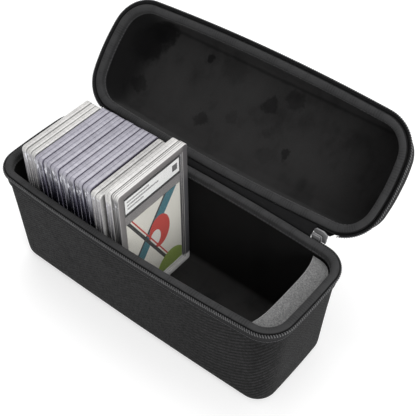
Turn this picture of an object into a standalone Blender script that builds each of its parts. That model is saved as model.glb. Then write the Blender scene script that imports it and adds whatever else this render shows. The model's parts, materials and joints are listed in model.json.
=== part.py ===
# Soft-sided storage case for graded cards: a deep moulded tub, a hinged lid on a fabric strip,
# a zip round three sides, a foam end pad and a row of card holders that lift out.
# Metres, +Z up. The origin is on the floor under the middle of the tub; the lid is drawn open.
import math

import bmesh
import bpy
from mathutils import Vector

MM = 0.001

# Clearances
GAP = 0.3 * MM
RIM_GAP = 0.4 * MM

# How finely the outline is drawn, in steps for each side and corner
LONG_STEPS = 8
CORNER_STEPS = 7
END_STEPS = 4
FILLET_STEPS = 4

# Tub, measured to the outer edge of its bound rim
TUB_HEIGHT = 102.1 * MM
TUB_RIM_LENGTH = 288.2 * MM
TUB_END_TAPER = 17.8 * MM
TUB_SIDE_TAPER = 12.6 * MM
TUB_SIDE_CLEARANCE = 1.9 * MM
TUB_RIM_CORNER = 23.0 * MM
TUB_RIM_LONG_BOW = 6.0 * MM
TUB_RIM_END_BOW = 2.0 * MM
TUB_FLOOR_CORNER = 19.0 * MM
TUB_FLOOR_LONG_BOW = 1.5 * MM
TUB_FLOOR_END_BOW = 1.0 * MM
TUB_FILLET = 10.4 * MM
TUB_BOTTOM_THICKNESS = 3.0 * MM

# Lid, measured in the same way; it is a little longer and narrower than the tub
LID_END_OVERHANG = 1.0 * MM
LID_SIDE_SETBACK = 1.8 * MM
LID_TAPER = 5.0 * MM
LID_TOP_CLEARANCE = 3.2 * MM
LID_RIM_CORNER = 30.0 * MM
LID_RIM_LONG_BOW = 5.6 * MM
LID_RIM_END_BOW = 8.0 * MM
LID_CROWN_CORNER = 28.0 * MM
LID_CROWN_LONG_BOW = 4.6 * MM
LID_CROWN_END_BOW = 7.5 * MM
LID_FILLET = 12.0 * MM
LID_CROWN_THICKNESS = 3.0 * MM
LID_FRONT_LEAD = 0.2 * MM

# Walls shared by both halves
WALL_THICKNESS = 2.6 * MM
LINING_THICKNESS = 0.7 * MM
LINING_FILLET = 4.5 * MM

# Binding tape folded over each rim
BINDING_THICKNESS = 1.2 * MM
BINDING_INNER_LEG = 7.0 * MM
BINDING_OUTER_LEG = 3.4 * MM
BINDING_ARCH = 1.8 * MM
BINDING_ARCH_STEPS = 6

# Zip tapes and chains
TAPE_THICKNESS = 1.0 * MM
TUB_TAPE_WIDTH = 9.0 * MM
LID_TAPE_HEIGHT = 6.4 * MM
LID_TAPE_FLARE = 2.2 * MM
CHAIN_THICKNESS = 1.2 * MM
CHAIN_HEIGHT = 2.4 * MM
CHAIN_DROP = 0.8 * MM
TUB_ZIP_SETBACK = 41.1 * MM
LID_ZIP_SETBACK = 21.6 * MM

# Hinge strip, in two leaves that meet at the fold
HINGE_BACK_OFFSET = 1.5 * MM
HINGE_HEIGHT_OVER_RIM = 0.1 * MM
HINGE_STRIP_SETBACK = 47.1 * MM
HINGE_LEAF_WIDTH = 14.0 * MM
HINGE_LEAF_STANDOFF = 0.3 * MM
HINGE_FOLD_RISE = 4.0 * MM
OPEN_ANGLE = math.radians(133.3)

# Zip sliders and their pulls
SLIDER_SETBACK = 34.6 * MM
SLIDER_LENGTH = 9.0 * MM
SLIDER_HEIGHT = 8.6 * MM
SLIDER_PLATE = 1.2 * MM
SLIDER_RISE = 3.6 * MM
SLIDER_NECK_LENGTH = 3.0 * MM
SLIDER_NECK_HEIGHT = 1.4 * MM
SLIDER_LIP_LENGTH = 7.0 * MM
SLIDER_LIP_THICKNESS = 0.8 * MM
SLIDER_CORNER = 1.6 * MM
EAR_LENGTH = 1.0 * MM
EAR_SPACING = 3.0 * MM
EAR_REACH = 2.2 * MM
EAR_HEIGHT = 2.6 * MM
PULL_LENGTH = 17.0 * MM
PULL_WIDTH = 5.6 * MM
PULL_THICKNESS = 1.2 * MM
PULL_EYE_WIDTH = 2.4 * MM
PULL_EYE_LENGTH = 3.4 * MM
PULL_HOLE_RADIUS = 1.3 * MM
PULL_HOLE_STEPS = 16

# Foam pad at the right-hand end
PAD_HEIGHT = 85.4 * MM
PAD_TIP_SETBACK = 30.1 * MM
PAD_HOLLOW = 4.7 * MM
PAD_TIP_POWER = 4
PAD_END_STEPS = 24
PAD_FACE_STEPS = 12
PAD_TOP_CLEARANCE = 0.4 * MM
PAD_EDGE_ROUND = 2.0 * MM

# Card, label and the front holder that is made to their size
CARD_WIDTH = 63.5 * MM
CARD_HEIGHT = 88.9 * MM
CARD_THICKNESS = 0.6 * MM
CARD_BOTTOM = 9.0 * MM
CARD_SIDE_MARGIN = 8.25 * MM
LABEL_SPACING = 10.1 * MM
LABEL_HEIGHT = 20.0 * MM
LABEL_THICKNESS = 0.4 * MM
LABEL_SIDE_MARGIN = 6.0 * MM
LABEL_TOP_MARGIN = 8.0 * MM
POCKET_CLEARANCE = 0.3 * MM
FRONT_HOLDER_WIDTH = CARD_WIDTH + 2 * CARD_SIDE_MARGIN
FRONT_HOLDER_HEIGHT = CARD_BOTTOM + CARD_HEIGHT + LABEL_SPACING + LABEL_HEIGHT + LABEL_TOP_MARGIN
FRONT_HOLDER_THICKNESS = 6.6 * MM
FRONT_HOLDER_SHIFT = 0.8 * MM
FRONT_HALF_THICKNESS = 3.1 * MM
FRAME_BORDER = 6.0 * MM
WINDOW_DEPTH = 0.6 * MM

# Card holders behind it, in rows of one kind each
HOLDER_CORNER = 3.0 * MM
HOLDER_CORNER_STEPS = 4
HOLDER_EDGE = 0.8 * MM
HOLDER_SPACING_GAP = 0.4 * MM
HOLDER_END_ROOM = 29.8 * MM
HOLDER_STEP_DOWN = 8.0 * MM
THICK_COUNT = 1
THICK_THICKNESS = 6.4 * MM
THICK_LEAD = 0.6 * MM
LOW_HOLDER_HEIGHT = FRONT_HOLDER_HEIGHT - HOLDER_STEP_DOWN
PLAIN_COUNT = 2
PLAIN_THICKNESS = 5.0 * MM
PLAIN_SHIFT = -0.8 * MM
PLAIN_LEAD = 3.2 * MM
SEALED_COUNT = 7
SEALED_THICKNESS = 8.3 * MM
SEALED_NARROWING = 1.0 * MM
SEALED_SHIFT = -0.2 * MM
SLIM_COUNT = 3
SLIM_THICKNESS = 4.8 * MM
SLIM_NARROWING = 4.0 * MM
ROW_LEAD = 0.8 * MM
# Each row: name, how many, thickness, width, height, shift across the case, gap in front
HOLDER_ROWS = (
    ("thick", THICK_COUNT, THICK_THICKNESS, FRONT_HOLDER_WIDTH, FRONT_HOLDER_HEIGHT,
     FRONT_HOLDER_SHIFT, THICK_LEAD),
    ("plain", PLAIN_COUNT, PLAIN_THICKNESS, FRONT_HOLDER_WIDTH, LOW_HOLDER_HEIGHT,
     PLAIN_SHIFT, PLAIN_LEAD),
    ("sealed", SEALED_COUNT, SEALED_THICKNESS, FRONT_HOLDER_WIDTH - SEALED_NARROWING,
     LOW_HOLDER_HEIGHT, SEALED_SHIFT, ROW_LEAD),
    ("slim", SLIM_COUNT, SLIM_THICKNESS, FRONT_HOLDER_WIDTH - SLIM_NARROWING,
     LOW_HOLDER_HEIGHT, 0, ROW_LEAD),
)

# Sizes that follow from those above
RIM_WIDTH = WALL_THICKNESS + LINING_THICKNESS + GAP + 2 * (BINDING_THICKNESS + GAP)
SHELL_INSET = BINDING_THICKNESS + GAP
LINING_INSET = SHELL_INSET + WALL_THICKNESS + GAP
LINING_INNER_INSET = LINING_INSET + LINING_THICKNESS
WALL_TOP = TUB_HEIGHT - BINDING_THICKNESS - GAP
TUB_FLOOR_TOP = TUB_BOTTOM_THICKNESS + GAP + LINING_THICKNESS
SEAT_Z = TUB_FLOOR_TOP + GAP
TUB_FLOOR_WIDTH = FRONT_HOLDER_WIDTH + 2 * (LINING_INNER_INSET + TUB_SIDE_CLEARANCE)
TUB_RIM_WIDTH = TUB_FLOOR_WIDTH + TUB_SIDE_TAPER
TUB_FLOOR_LENGTH = TUB_RIM_LENGTH - TUB_END_TAPER
RIM_END = TUB_RIM_LENGTH / 2
LID_RIM_LENGTH = TUB_RIM_LENGTH + LID_END_OVERHANG
LID_RIM_WIDTH = TUB_RIM_WIDTH - LID_SIDE_SETBACK
LID_RIM_Z = TUB_HEIGHT + RIM_GAP
LID_LINING_Z = SEAT_Z + FRONT_HOLDER_HEIGHT + LID_TOP_CLEARANCE
LID_DEPTH = LID_LINING_Z + LINING_THICKNESS + GAP + LID_CROWN_THICKNESS - LID_RIM_Z
LID_WALL_TOP = LID_DEPTH - BINDING_THICKNESS - GAP
LID_MIDDLE_Y = LID_RIM_WIDTH / 2 - TUB_RIM_WIDTH / 2 - LID_FRONT_LEAD
HINGE_Y = TUB_RIM_WIDTH / 2 + HINGE_BACK_OFFSET
HINGE_Z = TUB_HEIGHT + HINGE_HEIGHT_OVER_RIM
SLIDER_PLACE = RIM_END - SLIDER_SETBACK
PAD_TIP_X = RIM_END - PAD_TIP_SETBACK
LABEL_WIDTH = FRONT_HOLDER_WIDTH - 2 * LABEL_SIDE_MARGIN
ROW_LENGTH = FRONT_HOLDER_THICKNESS - HOLDER_SPACING_GAP + sum(
    lead + count * (thickness + HOLDER_SPACING_GAP)
    for kind, count, thickness, width, height, shift, lead in HOLDER_ROWS
)
FRONT_HOLDER_FACE_X = ROW_LENGTH + HOLDER_END_ROOM - RIM_END


def clear_scene():
    for old in list(bpy.data.objects):
        bpy.data.objects.remove(old, do_unlink=True)


def make_material(name, colour, roughness, metallic=0.0, alpha=1.0):
    material = bpy.data.materials.new(name)
    material.use_nodes = True
    shader = material.node_tree.nodes["Principled BSDF"]
    shader.inputs["Base Color"].default_value = (*colour, 1.0)
    shader.inputs["Roughness"].default_value = roughness
    shader.inputs["Metallic"].default_value = metallic
    shader.inputs["Alpha"].default_value = alpha
    return material


def add_object(name, bm, material, parent=None, smooth=True):
    bmesh.ops.recalc_face_normals(bm, faces=bm.faces)
    if bm.calc_volume(signed=True) < 0:
        bmesh.ops.reverse_faces(bm, faces=bm.faces)
    mesh = bpy.data.meshes.new(name)
    bm.to_mesh(mesh)
    bm.free()
    if smooth:
        mesh.shade_smooth()
        mesh.set_sharp_from_angle(angle=math.radians(35))
    mesh.materials.append(material)
    piece = bpy.data.objects.new(name, mesh)
    bpy.context.collection.objects.link(piece)
    piece.parent = parent
    return piece


def add_empty(name, place):
    empty = bpy.data.objects.new(name, None)
    empty.location = place
    bpy.context.collection.objects.link(empty)
    return empty


# The outline: four large side arcs joined by four corner arcs that touch them smoothly
class Outline:
    def __init__(self, length, width, corner, long_bow, end_bow):
        self.half_length = length / 2
        self.half_width = width / 2
        self.corner = corner
        self.long_radius = (self.half_length ** 2 + long_bow ** 2) / (2 * long_bow)
        self.end_radius = (self.half_width ** 2 + end_bow ** 2) / (2 * end_bow)
        self.long_centre = Vector((0, self.half_width - self.long_radius))
        self.end_centre = Vector((self.half_length - self.end_radius, 0))
        self.corner_centre = self.find_corner()

    def find_corner(self):
        # the point whose distances to the two side centres leave exactly the corner radius
        reach_long = self.long_radius - self.corner
        reach_end = self.end_radius - self.corner
        between = self.end_centre - self.long_centre
        span = between.length
        along = (reach_long ** 2 - reach_end ** 2 + span ** 2) / (2 * span)
        aside = math.sqrt(max(0, reach_long ** 2 - along ** 2))
        unit = between / span
        outward = Vector((unit.y, -unit.x))
        return self.long_centre + unit * along + outward * aside

    def quarter(self, inset):
        # from the middle of the long side, round the corner, to the middle of the end
        to_corner = self.corner_centre - self.long_centre
        long_turn = math.atan2(to_corner.x, to_corner.y)
        from_end = self.corner_centre - self.end_centre
        end_turn = math.atan2(from_end.y, from_end.x)
        arcs = (
            (self.long_centre, self.long_radius, math.pi / 2, math.pi / 2 - long_turn, LONG_STEPS // 2),
            (self.corner_centre, self.corner, math.pi / 2 - long_turn, end_turn, CORNER_STEPS),
            (self.end_centre, self.end_radius, end_turn, 0, END_STEPS // 2),
        )
        points = []
        for centre, radius, start, stop, steps in arcs:
            for step in range(steps):
                angle = start + (stop - start) * step / steps
                reach = radius - inset
                points.append(centre + Vector((math.cos(angle), math.sin(angle))) * reach)
        points.append(Vector((self.half_length - inset, 0)))
        return points

    def ring(self, inset):
        # clockwise seen from above, starting at the middle of the back
        back_right = self.quarter(inset)
        front_right = [Vector((p.x, -p.y)) for p in reversed(back_right[:-1])]
        right = back_right + front_right
        left = [Vector((-p.x, p.y)) for p in reversed(right[1:-1])]
        return right + left


# A half of the case: an outline at the closed end that grows to another one at the rim
class Half:
    def __init__(self, floor, rim, depth):
        self.floor = floor
        self.rim = rim
        self.depth = depth

    def ring(self, height, inset):
        share = height / self.depth
        low = self.floor.ring(inset)
        high = self.rim.ring(inset)
        return [Vector((*a.lerp(b, share), height)) for a, b in zip(low, high)]

    def end_indexes(self):
        # the ring's points on the right-hand end and its two corners
        first = LONG_STEPS // 2
        last = first + 2 * CORNER_STEPS + END_STEPS
        return range(first, last + 1)


TUB = Half(
    Outline(TUB_FLOOR_LENGTH, TUB_FLOOR_WIDTH, TUB_FLOOR_CORNER, TUB_FLOOR_LONG_BOW, TUB_FLOOR_END_BOW),
    Outline(TUB_RIM_LENGTH, TUB_RIM_WIDTH, TUB_RIM_CORNER, TUB_RIM_LONG_BOW, TUB_RIM_END_BOW),
    TUB_HEIGHT,
)
LID = Half(
    Outline(LID_RIM_LENGTH - LID_TAPER, LID_RIM_WIDTH - LID_TAPER, LID_CROWN_CORNER,
            LID_CROWN_LONG_BOW, LID_CROWN_END_BOW),
    Outline(LID_RIM_LENGTH, LID_RIM_WIDTH, LID_RIM_CORNER, LID_RIM_LONG_BOW, LID_RIM_END_BOW),
    LID_DEPTH,
)


def bridge_rings(bm, rings, closed):
    # the walls twist a little, so every diagonal runs the same way and neighbours stay parallel
    count = len(rings[0])
    pairs = list(zip(rings, rings[1:]))
    if closed:
        pairs.append((rings[-1], rings[0]))
    for near, far in pairs:
        for k in range(count):
            after = (k + 1) % count
            low, high = (near, far) if near[k].co.z <= far[k].co.z else (far, near)
            bm.faces.new((low[k], low[after], high[after]))
            bm.faces.new((low[k], high[after], high[k]))


def fillet_rings(half, inset, floor, radius):
    rings = []
    for step in range(FILLET_STEPS + 1):
        turn = math.pi / 2 * step / FILLET_STEPS
        height = floor + radius * (1 - math.cos(turn))
        rings.append(half.ring(height, inset + radius * (1 - math.sin(turn))))
    return rings


def tray(half, outer, inner, top):
    # an open tray: each face is given by its inset, the height of its floor and its fillet
    rings = fillet_rings(half, *outer)
    rings.append(half.ring(top / 2, outer[0]))
    rings.append(half.ring(top, outer[0]))
    rings.append(half.ring(top, inner[0]))
    rings.append(half.ring(top / 2, inner[0]))
    rings.extend(reversed(fillet_rings(half, *inner)))
    bm = bmesh.new()
    verts = [[bm.verts.new(p) for p in ring] for ring in rings]
    bridge_rings(bm, verts, closed=False)
    bm.faces.new(verts[0])
    bm.faces.new(verts[-1])
    return bm


def hoop(half, section):
    # a closed band round the rim; the section is a list of insets and heights
    bm = bmesh.new()
    verts = [[bm.verts.new(p) for p in half.ring(height, inset)] for inset, height in section]
    bridge_rings(bm, verts, closed=True)
    return bm


def on_back(point, half_length):
    return point.y > 0 and abs(point.x) < half_length


def round_front(rings, half_gap):
    # the open run that starts and stops at x = half_gap on the back, round the front
    count = range(len(rings[0]))
    kept = [k for k in count if not any(on_back(ring[k], half_gap) for ring in rings)]
    return kept, half_gap


def along_back(rings, half_length):
    # the open run along the back, from x = -half_length to x = half_length
    count = range(len(rings[0]))
    kept = [k for k in count if all(on_back(ring[k], half_length) for ring in rings)]
    return sorted(kept, key=lambda k: rings[0][k].x), -half_length


def back_point(points, x):
    back = sorted((p for p in points if p.y > 0), key=lambda p: p.x)
    for a, b in zip(back, back[1:]):
        if a.x <= x <= b.x:
            return a.lerp(b, (x - a.x) / (b.x - a.x))
    return back[-1]


def strip(half, section, choose, reach):
    # a band along part of the rim, closed at both of its ends
    bm = bmesh.new()
    rings = [half.ring(height, inset) for inset, height in section]
    kept, start = choose(rings, reach)
    verts = []
    for ring in rings:
        run = [back_point(ring, start)] + [ring[k] for k in kept] + [back_point(ring, -start)]
        verts.append([bm.verts.new(p) for p in run])
    count = len(verts[0])
    for low, high in zip(verts, verts[1:] + verts[:1]):
        for k in range(count - 1):
            bm.faces.new((low[k], low[k + 1], high[k + 1], high[k]))
    bm.faces.new([row[0] for row in verts])
    bm.faces.new([row[-1] for row in verts])
    return bm


def binding_section(top):
    # a tape folded over the rim, from the foot of its outer leg over the arch and back inside
    middle = RIM_WIDTH / 2
    section = [(0, top - BINDING_OUTER_LEG)]
    for step in range(BINDING_ARCH_STEPS + 1):
        turn = math.pi * step / BINDING_ARCH_STEPS
        rise = BINDING_ARCH * (math.sin(turn) - 1)
        section.append((middle - middle * math.cos(turn), top + rise))
    section.append((RIM_WIDTH, top - BINDING_INNER_LEG))
    section.append((RIM_WIDTH - BINDING_THICKNESS, top - BINDING_INNER_LEG))
    section.append((RIM_WIDTH - BINDING_THICKNESS, top - BINDING_THICKNESS))
    section.append((BINDING_THICKNESS, top - BINDING_THICKNESS))
    section.append((BINDING_THICKNESS, top - BINDING_OUTER_LEG))
    return section


def lid_frame():
    # meshes of the lid are drawn with the crown down; this puts them where the open lid is
    hinge = add_empty("lid_hinge", (0, HINGE_Y, HINGE_Z))
    hinge.rotation_euler = (-OPEN_ANGLE, 0, 0)
    return hinge


def close_over(bm):
    # turns a lid mesh drawn like a tub into its closed place, measured from the hinge line
    for vert in bm.verts:
        x, y, z = vert.co
        vert.co = Vector((x, y + LID_MIDDLE_Y - HINGE_Y, LID_RIM_Z + LID_DEPTH - z - HINGE_Z))
    return bm


def make_tub(materials):
    shell = tray(
        TUB,
        (SHELL_INSET, 0, TUB_FILLET),
        (SHELL_INSET + WALL_THICKNESS, TUB_BOTTOM_THICKNESS, LINING_FILLET + LINING_THICKNESS + GAP),
        WALL_TOP,
    )
    add_object("base_shell", shell, materials["weave"])
    lining = tray(
        TUB,
        (LINING_INSET, TUB_BOTTOM_THICKNESS + GAP, LINING_FILLET + LINING_THICKNESS),
        (LINING_INNER_INSET, TUB_FLOOR_TOP, LINING_FILLET),
        WALL_TOP,
    )
    add_object("base_lining", lining, materials["lining"])
    add_object("base_binding", hoop(TUB, binding_section(TUB_HEIGHT)), materials["binding"])


def make_lid(materials, hinge):
    shell = tray(
        LID,
        (SHELL_INSET, 0, LID_FILLET),
        (SHELL_INSET + WALL_THICKNESS, LID_CROWN_THICKNESS, LID_FILLET - WALL_THICKNESS),
        LID_WALL_TOP,
    )
    add_object("lid_shell", close_over(shell), materials["weave"], hinge)
    lining_floor = LID_CROWN_THICKNESS + GAP
    lining_fillet = LID_FILLET - WALL_THICKNESS - GAP
    lining = tray(
        LID,
        (LINING_INSET, lining_floor, lining_fillet),
        (LINING_INNER_INSET, lining_floor + LINING_THICKNESS, lining_fillet - LINING_THICKNESS),
        LID_WALL_TOP,
    )
    add_object("lid_lining", close_over(lining), materials["lining"], hinge)
    binding = hoop(LID, binding_section(LID_DEPTH))
    add_object("lid_binding", close_over(binding), materials["binding"], hinge)


def chain_section(outer, top):
    return [
        (outer, top),
        (outer, top - CHAIN_HEIGHT),
        (outer + CHAIN_THICKNESS, top - CHAIN_HEIGHT),
        (outer + CHAIN_THICKNESS, top),
    ]


def make_tub_zip(materials):
    chain_top = TUB_HEIGHT - CHAIN_DROP
    chain = chain_section(-GAP - CHAIN_THICKNESS, chain_top)
    tape_top = TUB_HEIGHT - BINDING_OUTER_LEG - GAP
    tape_bottom = tape_top - TUB_TAPE_WIDTH
    tape_inset = SHELL_INSET - GAP
    tape = [
        (tape_inset - TAPE_THICKNESS, tape_top),
        (tape_inset - TAPE_THICKNESS, tape_bottom),
        (tape_inset, tape_bottom),
        (tape_inset, tape_top),
    ]
    zip_end = RIM_END - TUB_ZIP_SETBACK
    add_object("base_zip_tape", strip(TUB, tape, round_front, zip_end), materials["tape"])
    add_object("base_zip_chain", strip(TUB, chain, round_front, zip_end), materials["chain"])


def make_lid_zip(materials, hinge):
    foot = LID_DEPTH - LID_TAPE_HEIGHT
    edge = LID_DEPTH - CHAIN_DROP
    leg_end = LID_DEPTH - BINDING_OUTER_LEG
    tape_inset = SHELL_INSET - GAP
    tape = [
        (tape_inset, foot),
        (tape_inset - TAPE_THICKNESS, foot),
        (-LID_TAPE_FLARE, edge - TAPE_THICKNESS),
        (-LID_TAPE_FLARE, edge),
        (-GAP - TAPE_THICKNESS, leg_end),
        (tape_inset, leg_end - GAP - TAPE_THICKNESS),
    ]
    zip_end = RIM_END - LID_ZIP_SETBACK
    tape_mesh = strip(LID, tape, round_front, zip_end)
    add_object("lid_zip_tape", close_over(tape_mesh), materials["tape"], hinge)
    chain = chain_section(-LID_TAPE_FLARE - GAP - CHAIN_THICKNESS, LID_DEPTH)
    chain_mesh = strip(LID, chain, round_front, zip_end)
    add_object("lid_zip_chain", close_over(chain_mesh), materials["chain"], hinge)


def leaf_section(top, fold_inset):
    # a strip that lies on the wall, steps out round the binding and ends at the fold
    wall_face = SHELL_INSET - GAP
    outer = -HINGE_LEAF_STANDOFF
    return [
        (wall_face, top - HINGE_LEAF_WIDTH),
        (wall_face - TAPE_THICKNESS, top - HINGE_LEAF_WIDTH),
        (outer - TAPE_THICKNESS, top - HINGE_FOLD_RISE),
        (fold_inset - TAPE_THICKNESS, top),
        (fold_inset, top),
        (outer, top - HINGE_FOLD_RISE + GAP),
        (wall_face, top - HINGE_FOLD_RISE - TAPE_THICKNESS),
    ]


def make_hinge(materials, hinge):
    base_leaf = leaf_section(TUB_HEIGHT - GAP, -HINGE_LEAF_STANDOFF)
    strip_end = RIM_END - HINGE_STRIP_SETBACK
    base_mesh = strip(TUB, base_leaf, along_back, strip_end)
    add_object("hinge_strip_base_side", base_mesh, materials["tape"])
    lid_back = TUB_RIM_WIDTH / 2 - (LID_MIDDLE_Y + LID_RIM_WIDTH / 2)
    lid_leaf = leaf_section(LID_DEPTH - GAP, -lid_back - HINGE_LEAF_STANDOFF)
    lid_mesh = strip(LID, lid_leaf, along_back, strip_end)
    add_object("hinge_strip_lid_side", close_over(lid_mesh), materials["tape"], hinge)


def rounded_plate(width, height, corner, steps):
    # the corners of a rounded rectangle round its own middle
    points = []
    for quarter in range(4):
        start = quarter * math.pi / 2
        sign_x = 1 if quarter in (0, 3) else -1
        sign_y = 1 if quarter in (0, 1) else -1
        for step in range(steps + 1):
            turn = start + math.pi / 2 * step / steps
            points.append((
                sign_x * (width / 2 - corner) + corner * math.cos(turn),
                sign_y * (height / 2 - corner) + corner * math.sin(turn),
            ))
    return points


def loft(levels):
    # a solid through rings of equal length, closed at its two ends
    bm = bmesh.new()
    verts = [[bm.verts.new(p) for p in ring] for ring in levels]
    bridge_rings(bm, verts, closed=False)
    bm.faces.new(verts[0])
    bm.faces.new(verts[-1])
    return bm


def box_mesh(low, high):
    bm = bmesh.new()
    bmesh.ops.create_cube(bm, size=1)
    low = Vector(low)
    high = Vector(high)
    for vert in bm.verts:
        for axis in range(3):
            middle = (low[axis] + high[axis]) / 2
            vert.co[axis] = middle + vert.co[axis] * (high[axis] - low[axis])
    return bm


def cutter(name, bm, parent):
    tool = add_object(name, bm, bpy.data.materials["cutter"], parent, smooth=False)
    tool.hide_render = True
    tool.display_type = "WIRE"
    return tool


def boolean(piece, tool, operation):
    modifier = piece.modifiers.new(tool.name, "BOOLEAN")
    modifier.operation = operation
    modifier.solver = "EXACT"
    modifier.object = tool


def back_edge(x, inset):
    # how far back the rim's outline lies at this place along the case
    points = [Vector((*p, 0)) for p in TUB.rim.ring(inset)]
    return back_point(points, x).y


def make_slider(side, materials):
    # drawn for the right-hand end; the left one is its mirror image
    name = "right" if side > 0 else "left"
    turn_x, turn_y = TUB.rim.corner_centre
    chain_outer = -GAP - CHAIN_THICKNESS
    face = back_edge(SLIDER_PLACE - SLIDER_LENGTH / 2, chain_outer) + GAP
    chain_top = TUB_HEIGHT - CHAIN_DROP
    plate_top = chain_top + SLIDER_RISE
    pivot = add_empty("slider_turn_" + name, (side * turn_x, turn_y, TUB_HEIGHT))

    def local(x, y, z):
        return Vector((side * (x - turn_x), y - turn_y, z - TUB_HEIGHT))

    def piece_box(x, length, near, far, low, high):
        a = local(x - length / 2, near, low)
        b = local(x + length / 2, far, high)
        return box_mesh([min(*p) for p in zip(a, b)], [max(*p) for p in zip(a, b)])

    plate = []
    middle_z = plate_top - SLIDER_HEIGHT / 2
    for depth in (face, face + SLIDER_PLATE):
        ring = rounded_plate(SLIDER_LENGTH, SLIDER_HEIGHT, SLIDER_CORNER, HOLDER_CORNER_STEPS)
        plate.append([local(SLIDER_PLACE + u, depth, middle_z + w) for u, w in ring])
    body = add_object("zip_slider_" + name, loft(plate), materials["slider"], pivot)
    lip_outer = face - CHAIN_THICKNESS + SLIDER_LIP_THICKNESS
    lip_inner = lip_outer - SLIDER_LIP_THICKNESS
    lip_low = chain_top + GAP
    overlap = SLIDER_PLATE / 2
    parts = (
        piece_box(SLIDER_PLACE, SLIDER_NECK_LENGTH, lip_inner, face + overlap, lip_low,
                  lip_low + SLIDER_NECK_HEIGHT),
        piece_box(SLIDER_PLACE, SLIDER_LIP_LENGTH, lip_inner, lip_outer, lip_low, plate_top - GAP),
    )
    for number, part in enumerate(parts):
        boolean(body, cutter("slider_part_%s_%d" % (name, number), part, pivot), "UNION")
    outside = face + SLIDER_PLATE
    ear_middle = middle_z
    for end in (-1, 1):
        ear_x = SLIDER_PLACE + end * (EAR_SPACING + EAR_LENGTH) / 2
        ear = piece_box(ear_x, EAR_LENGTH, outside - overlap, outside + EAR_REACH,
                        ear_middle - EAR_HEIGHT / 2, ear_middle + EAR_HEIGHT / 2)
        boolean(body, cutter("slider_ear_%s_%d" % (name, end), ear, pivot), "UNION")
    make_pull(name, local, pivot, outside, ear_middle, materials)


def make_pull(name, local, pivot, outside, axis_z, materials):
    # a flat tab that hangs from between the slider's two ears
    near = outside + GAP
    far = near + PULL_THICKNESS
    eye_top = axis_z + PULL_THICKNESS / 2
    eye_low = eye_top - PULL_EYE_LENGTH
    half_eye = PULL_EYE_WIDTH / 2
    half_tab = PULL_WIDTH / 2
    low = eye_top - PULL_LENGTH
    shoulder = eye_low - (half_tab - half_eye)
    cap = half_tab
    outline = [(half_eye, eye_top), (-half_eye, eye_top), (-half_eye, eye_low), (-half_tab, shoulder)]
    for step in range(PULL_HOLE_STEPS // 2 + 1):
        turn = math.pi + math.pi * step / (PULL_HOLE_STEPS // 2)
        outline.append((cap * math.cos(turn), low + cap + cap * math.sin(turn)))
    outline.extend([(half_tab, shoulder), (half_eye, eye_low)])
    hole_z = low + cap
    levels = [[local(SLIDER_PLACE + u, depth, w) for u, w in outline] for depth in (near, far)]
    pull = add_object("zip_pull_" + name, loft(levels), materials["slider"], pivot)
    ring = []
    for step in range(PULL_HOLE_STEPS):
        turn = 2 * math.pi * step / PULL_HOLE_STEPS
        ring.append((PULL_HOLE_RADIUS * math.cos(turn), hole_z + PULL_HOLE_RADIUS * math.sin(turn)))
    reach = (near - PULL_THICKNESS, far + PULL_THICKNESS)
    hole = loft([[local(SLIDER_PLACE + u, depth, w) for u, w in ring] for depth in reach])
    boolean(pull, cutter("pull_hole_" + name, hole, pivot), "DIFFERENCE")


def even_run(points, steps):
    # the same line drawn in a fixed number of even steps
    lengths = [(b - a).length for a, b in zip(points, points[1:])]
    total = sum(lengths)
    run = []
    for step in range(steps + 1):
        left = total * step / steps
        k = 0
        while k < len(lengths) - 1 and left > lengths[k]:
            left -= lengths[k]
            k += 1
        run.append(points[k].lerp(points[k + 1], min(1, left / lengths[k])))
    return run


def pad_ring(height, inset, shrink):
    # the pad's plan: round the end of the tub, then back along its hollowed face
    points = TUB.ring(height, inset + shrink)
    tip = back_point(points, PAD_TIP_X + shrink)
    end = [points[k] for k in TUB.end_indexes() if points[k].x > tip.x]
    ring = even_run([tip] + end + [Vector((tip.x, -tip.y, tip.z))], PAD_END_STEPS)
    for step in range(1, PAD_FACE_STEPS):
        share = -1 + 2 * step / PAD_FACE_STEPS
        hollow = PAD_HOLLOW * (1 - abs(share) ** PAD_TIP_POWER)
        ring.append(Vector((PAD_TIP_X + shrink + hollow, share * tip.y, height)))
    return ring


def make_pad(materials):
    top = SEAT_Z + PAD_HEIGHT
    low_inset = LINING_INNER_INSET + GAP + LINING_FILLET
    seat_inset = LINING_INNER_INSET + GAP
    top_inset = RIM_WIDTH + PAD_TOP_CLEARANCE
    levels = (
        (SEAT_Z, low_inset, 0),
        (SEAT_Z + LINING_FILLET, seat_inset, 0),
        (top - PAD_EDGE_ROUND, top_inset, 0),
        (top, top_inset, PAD_EDGE_ROUND),
    )
    rings = [pad_ring(*level) for level in levels]
    add_object("foam_pad", loft(rings), materials["foam"])


def holder_solid(thickness, width, height):
    # a flat plate standing on its lower edge, with small chamfers on both faces
    plan = (
        (0, HOLDER_EDGE),
        (HOLDER_EDGE, 0),
        (thickness - HOLDER_EDGE, 0),
        (thickness, HOLDER_EDGE),
    )
    levels = []
    for depth, shrink in plan:
        ring = rounded_plate(width - 2 * shrink, height - 2 * shrink, HOLDER_CORNER - shrink,
                             HOLDER_CORNER_STEPS)
        levels.append([Vector((-depth, u, w + height / 2)) for u, w in ring])
    return loft(levels)


def make_holders(materials):
    x = FRONT_HOLDER_FACE_X - FRONT_HOLDER_THICKNESS
    number = 1
    for kind, count, thickness, width, height, shift, lead in HOLDER_ROWS:
        x -= lead
        for copy in range(count):
            piece = add_object("card_holder_%02d" % number, holder_solid(thickness, width, height),
                               materials[kind])
            piece.location = (x, shift, SEAT_Z)
            x -= thickness + HOLDER_SPACING_GAP
            number += 1


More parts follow.
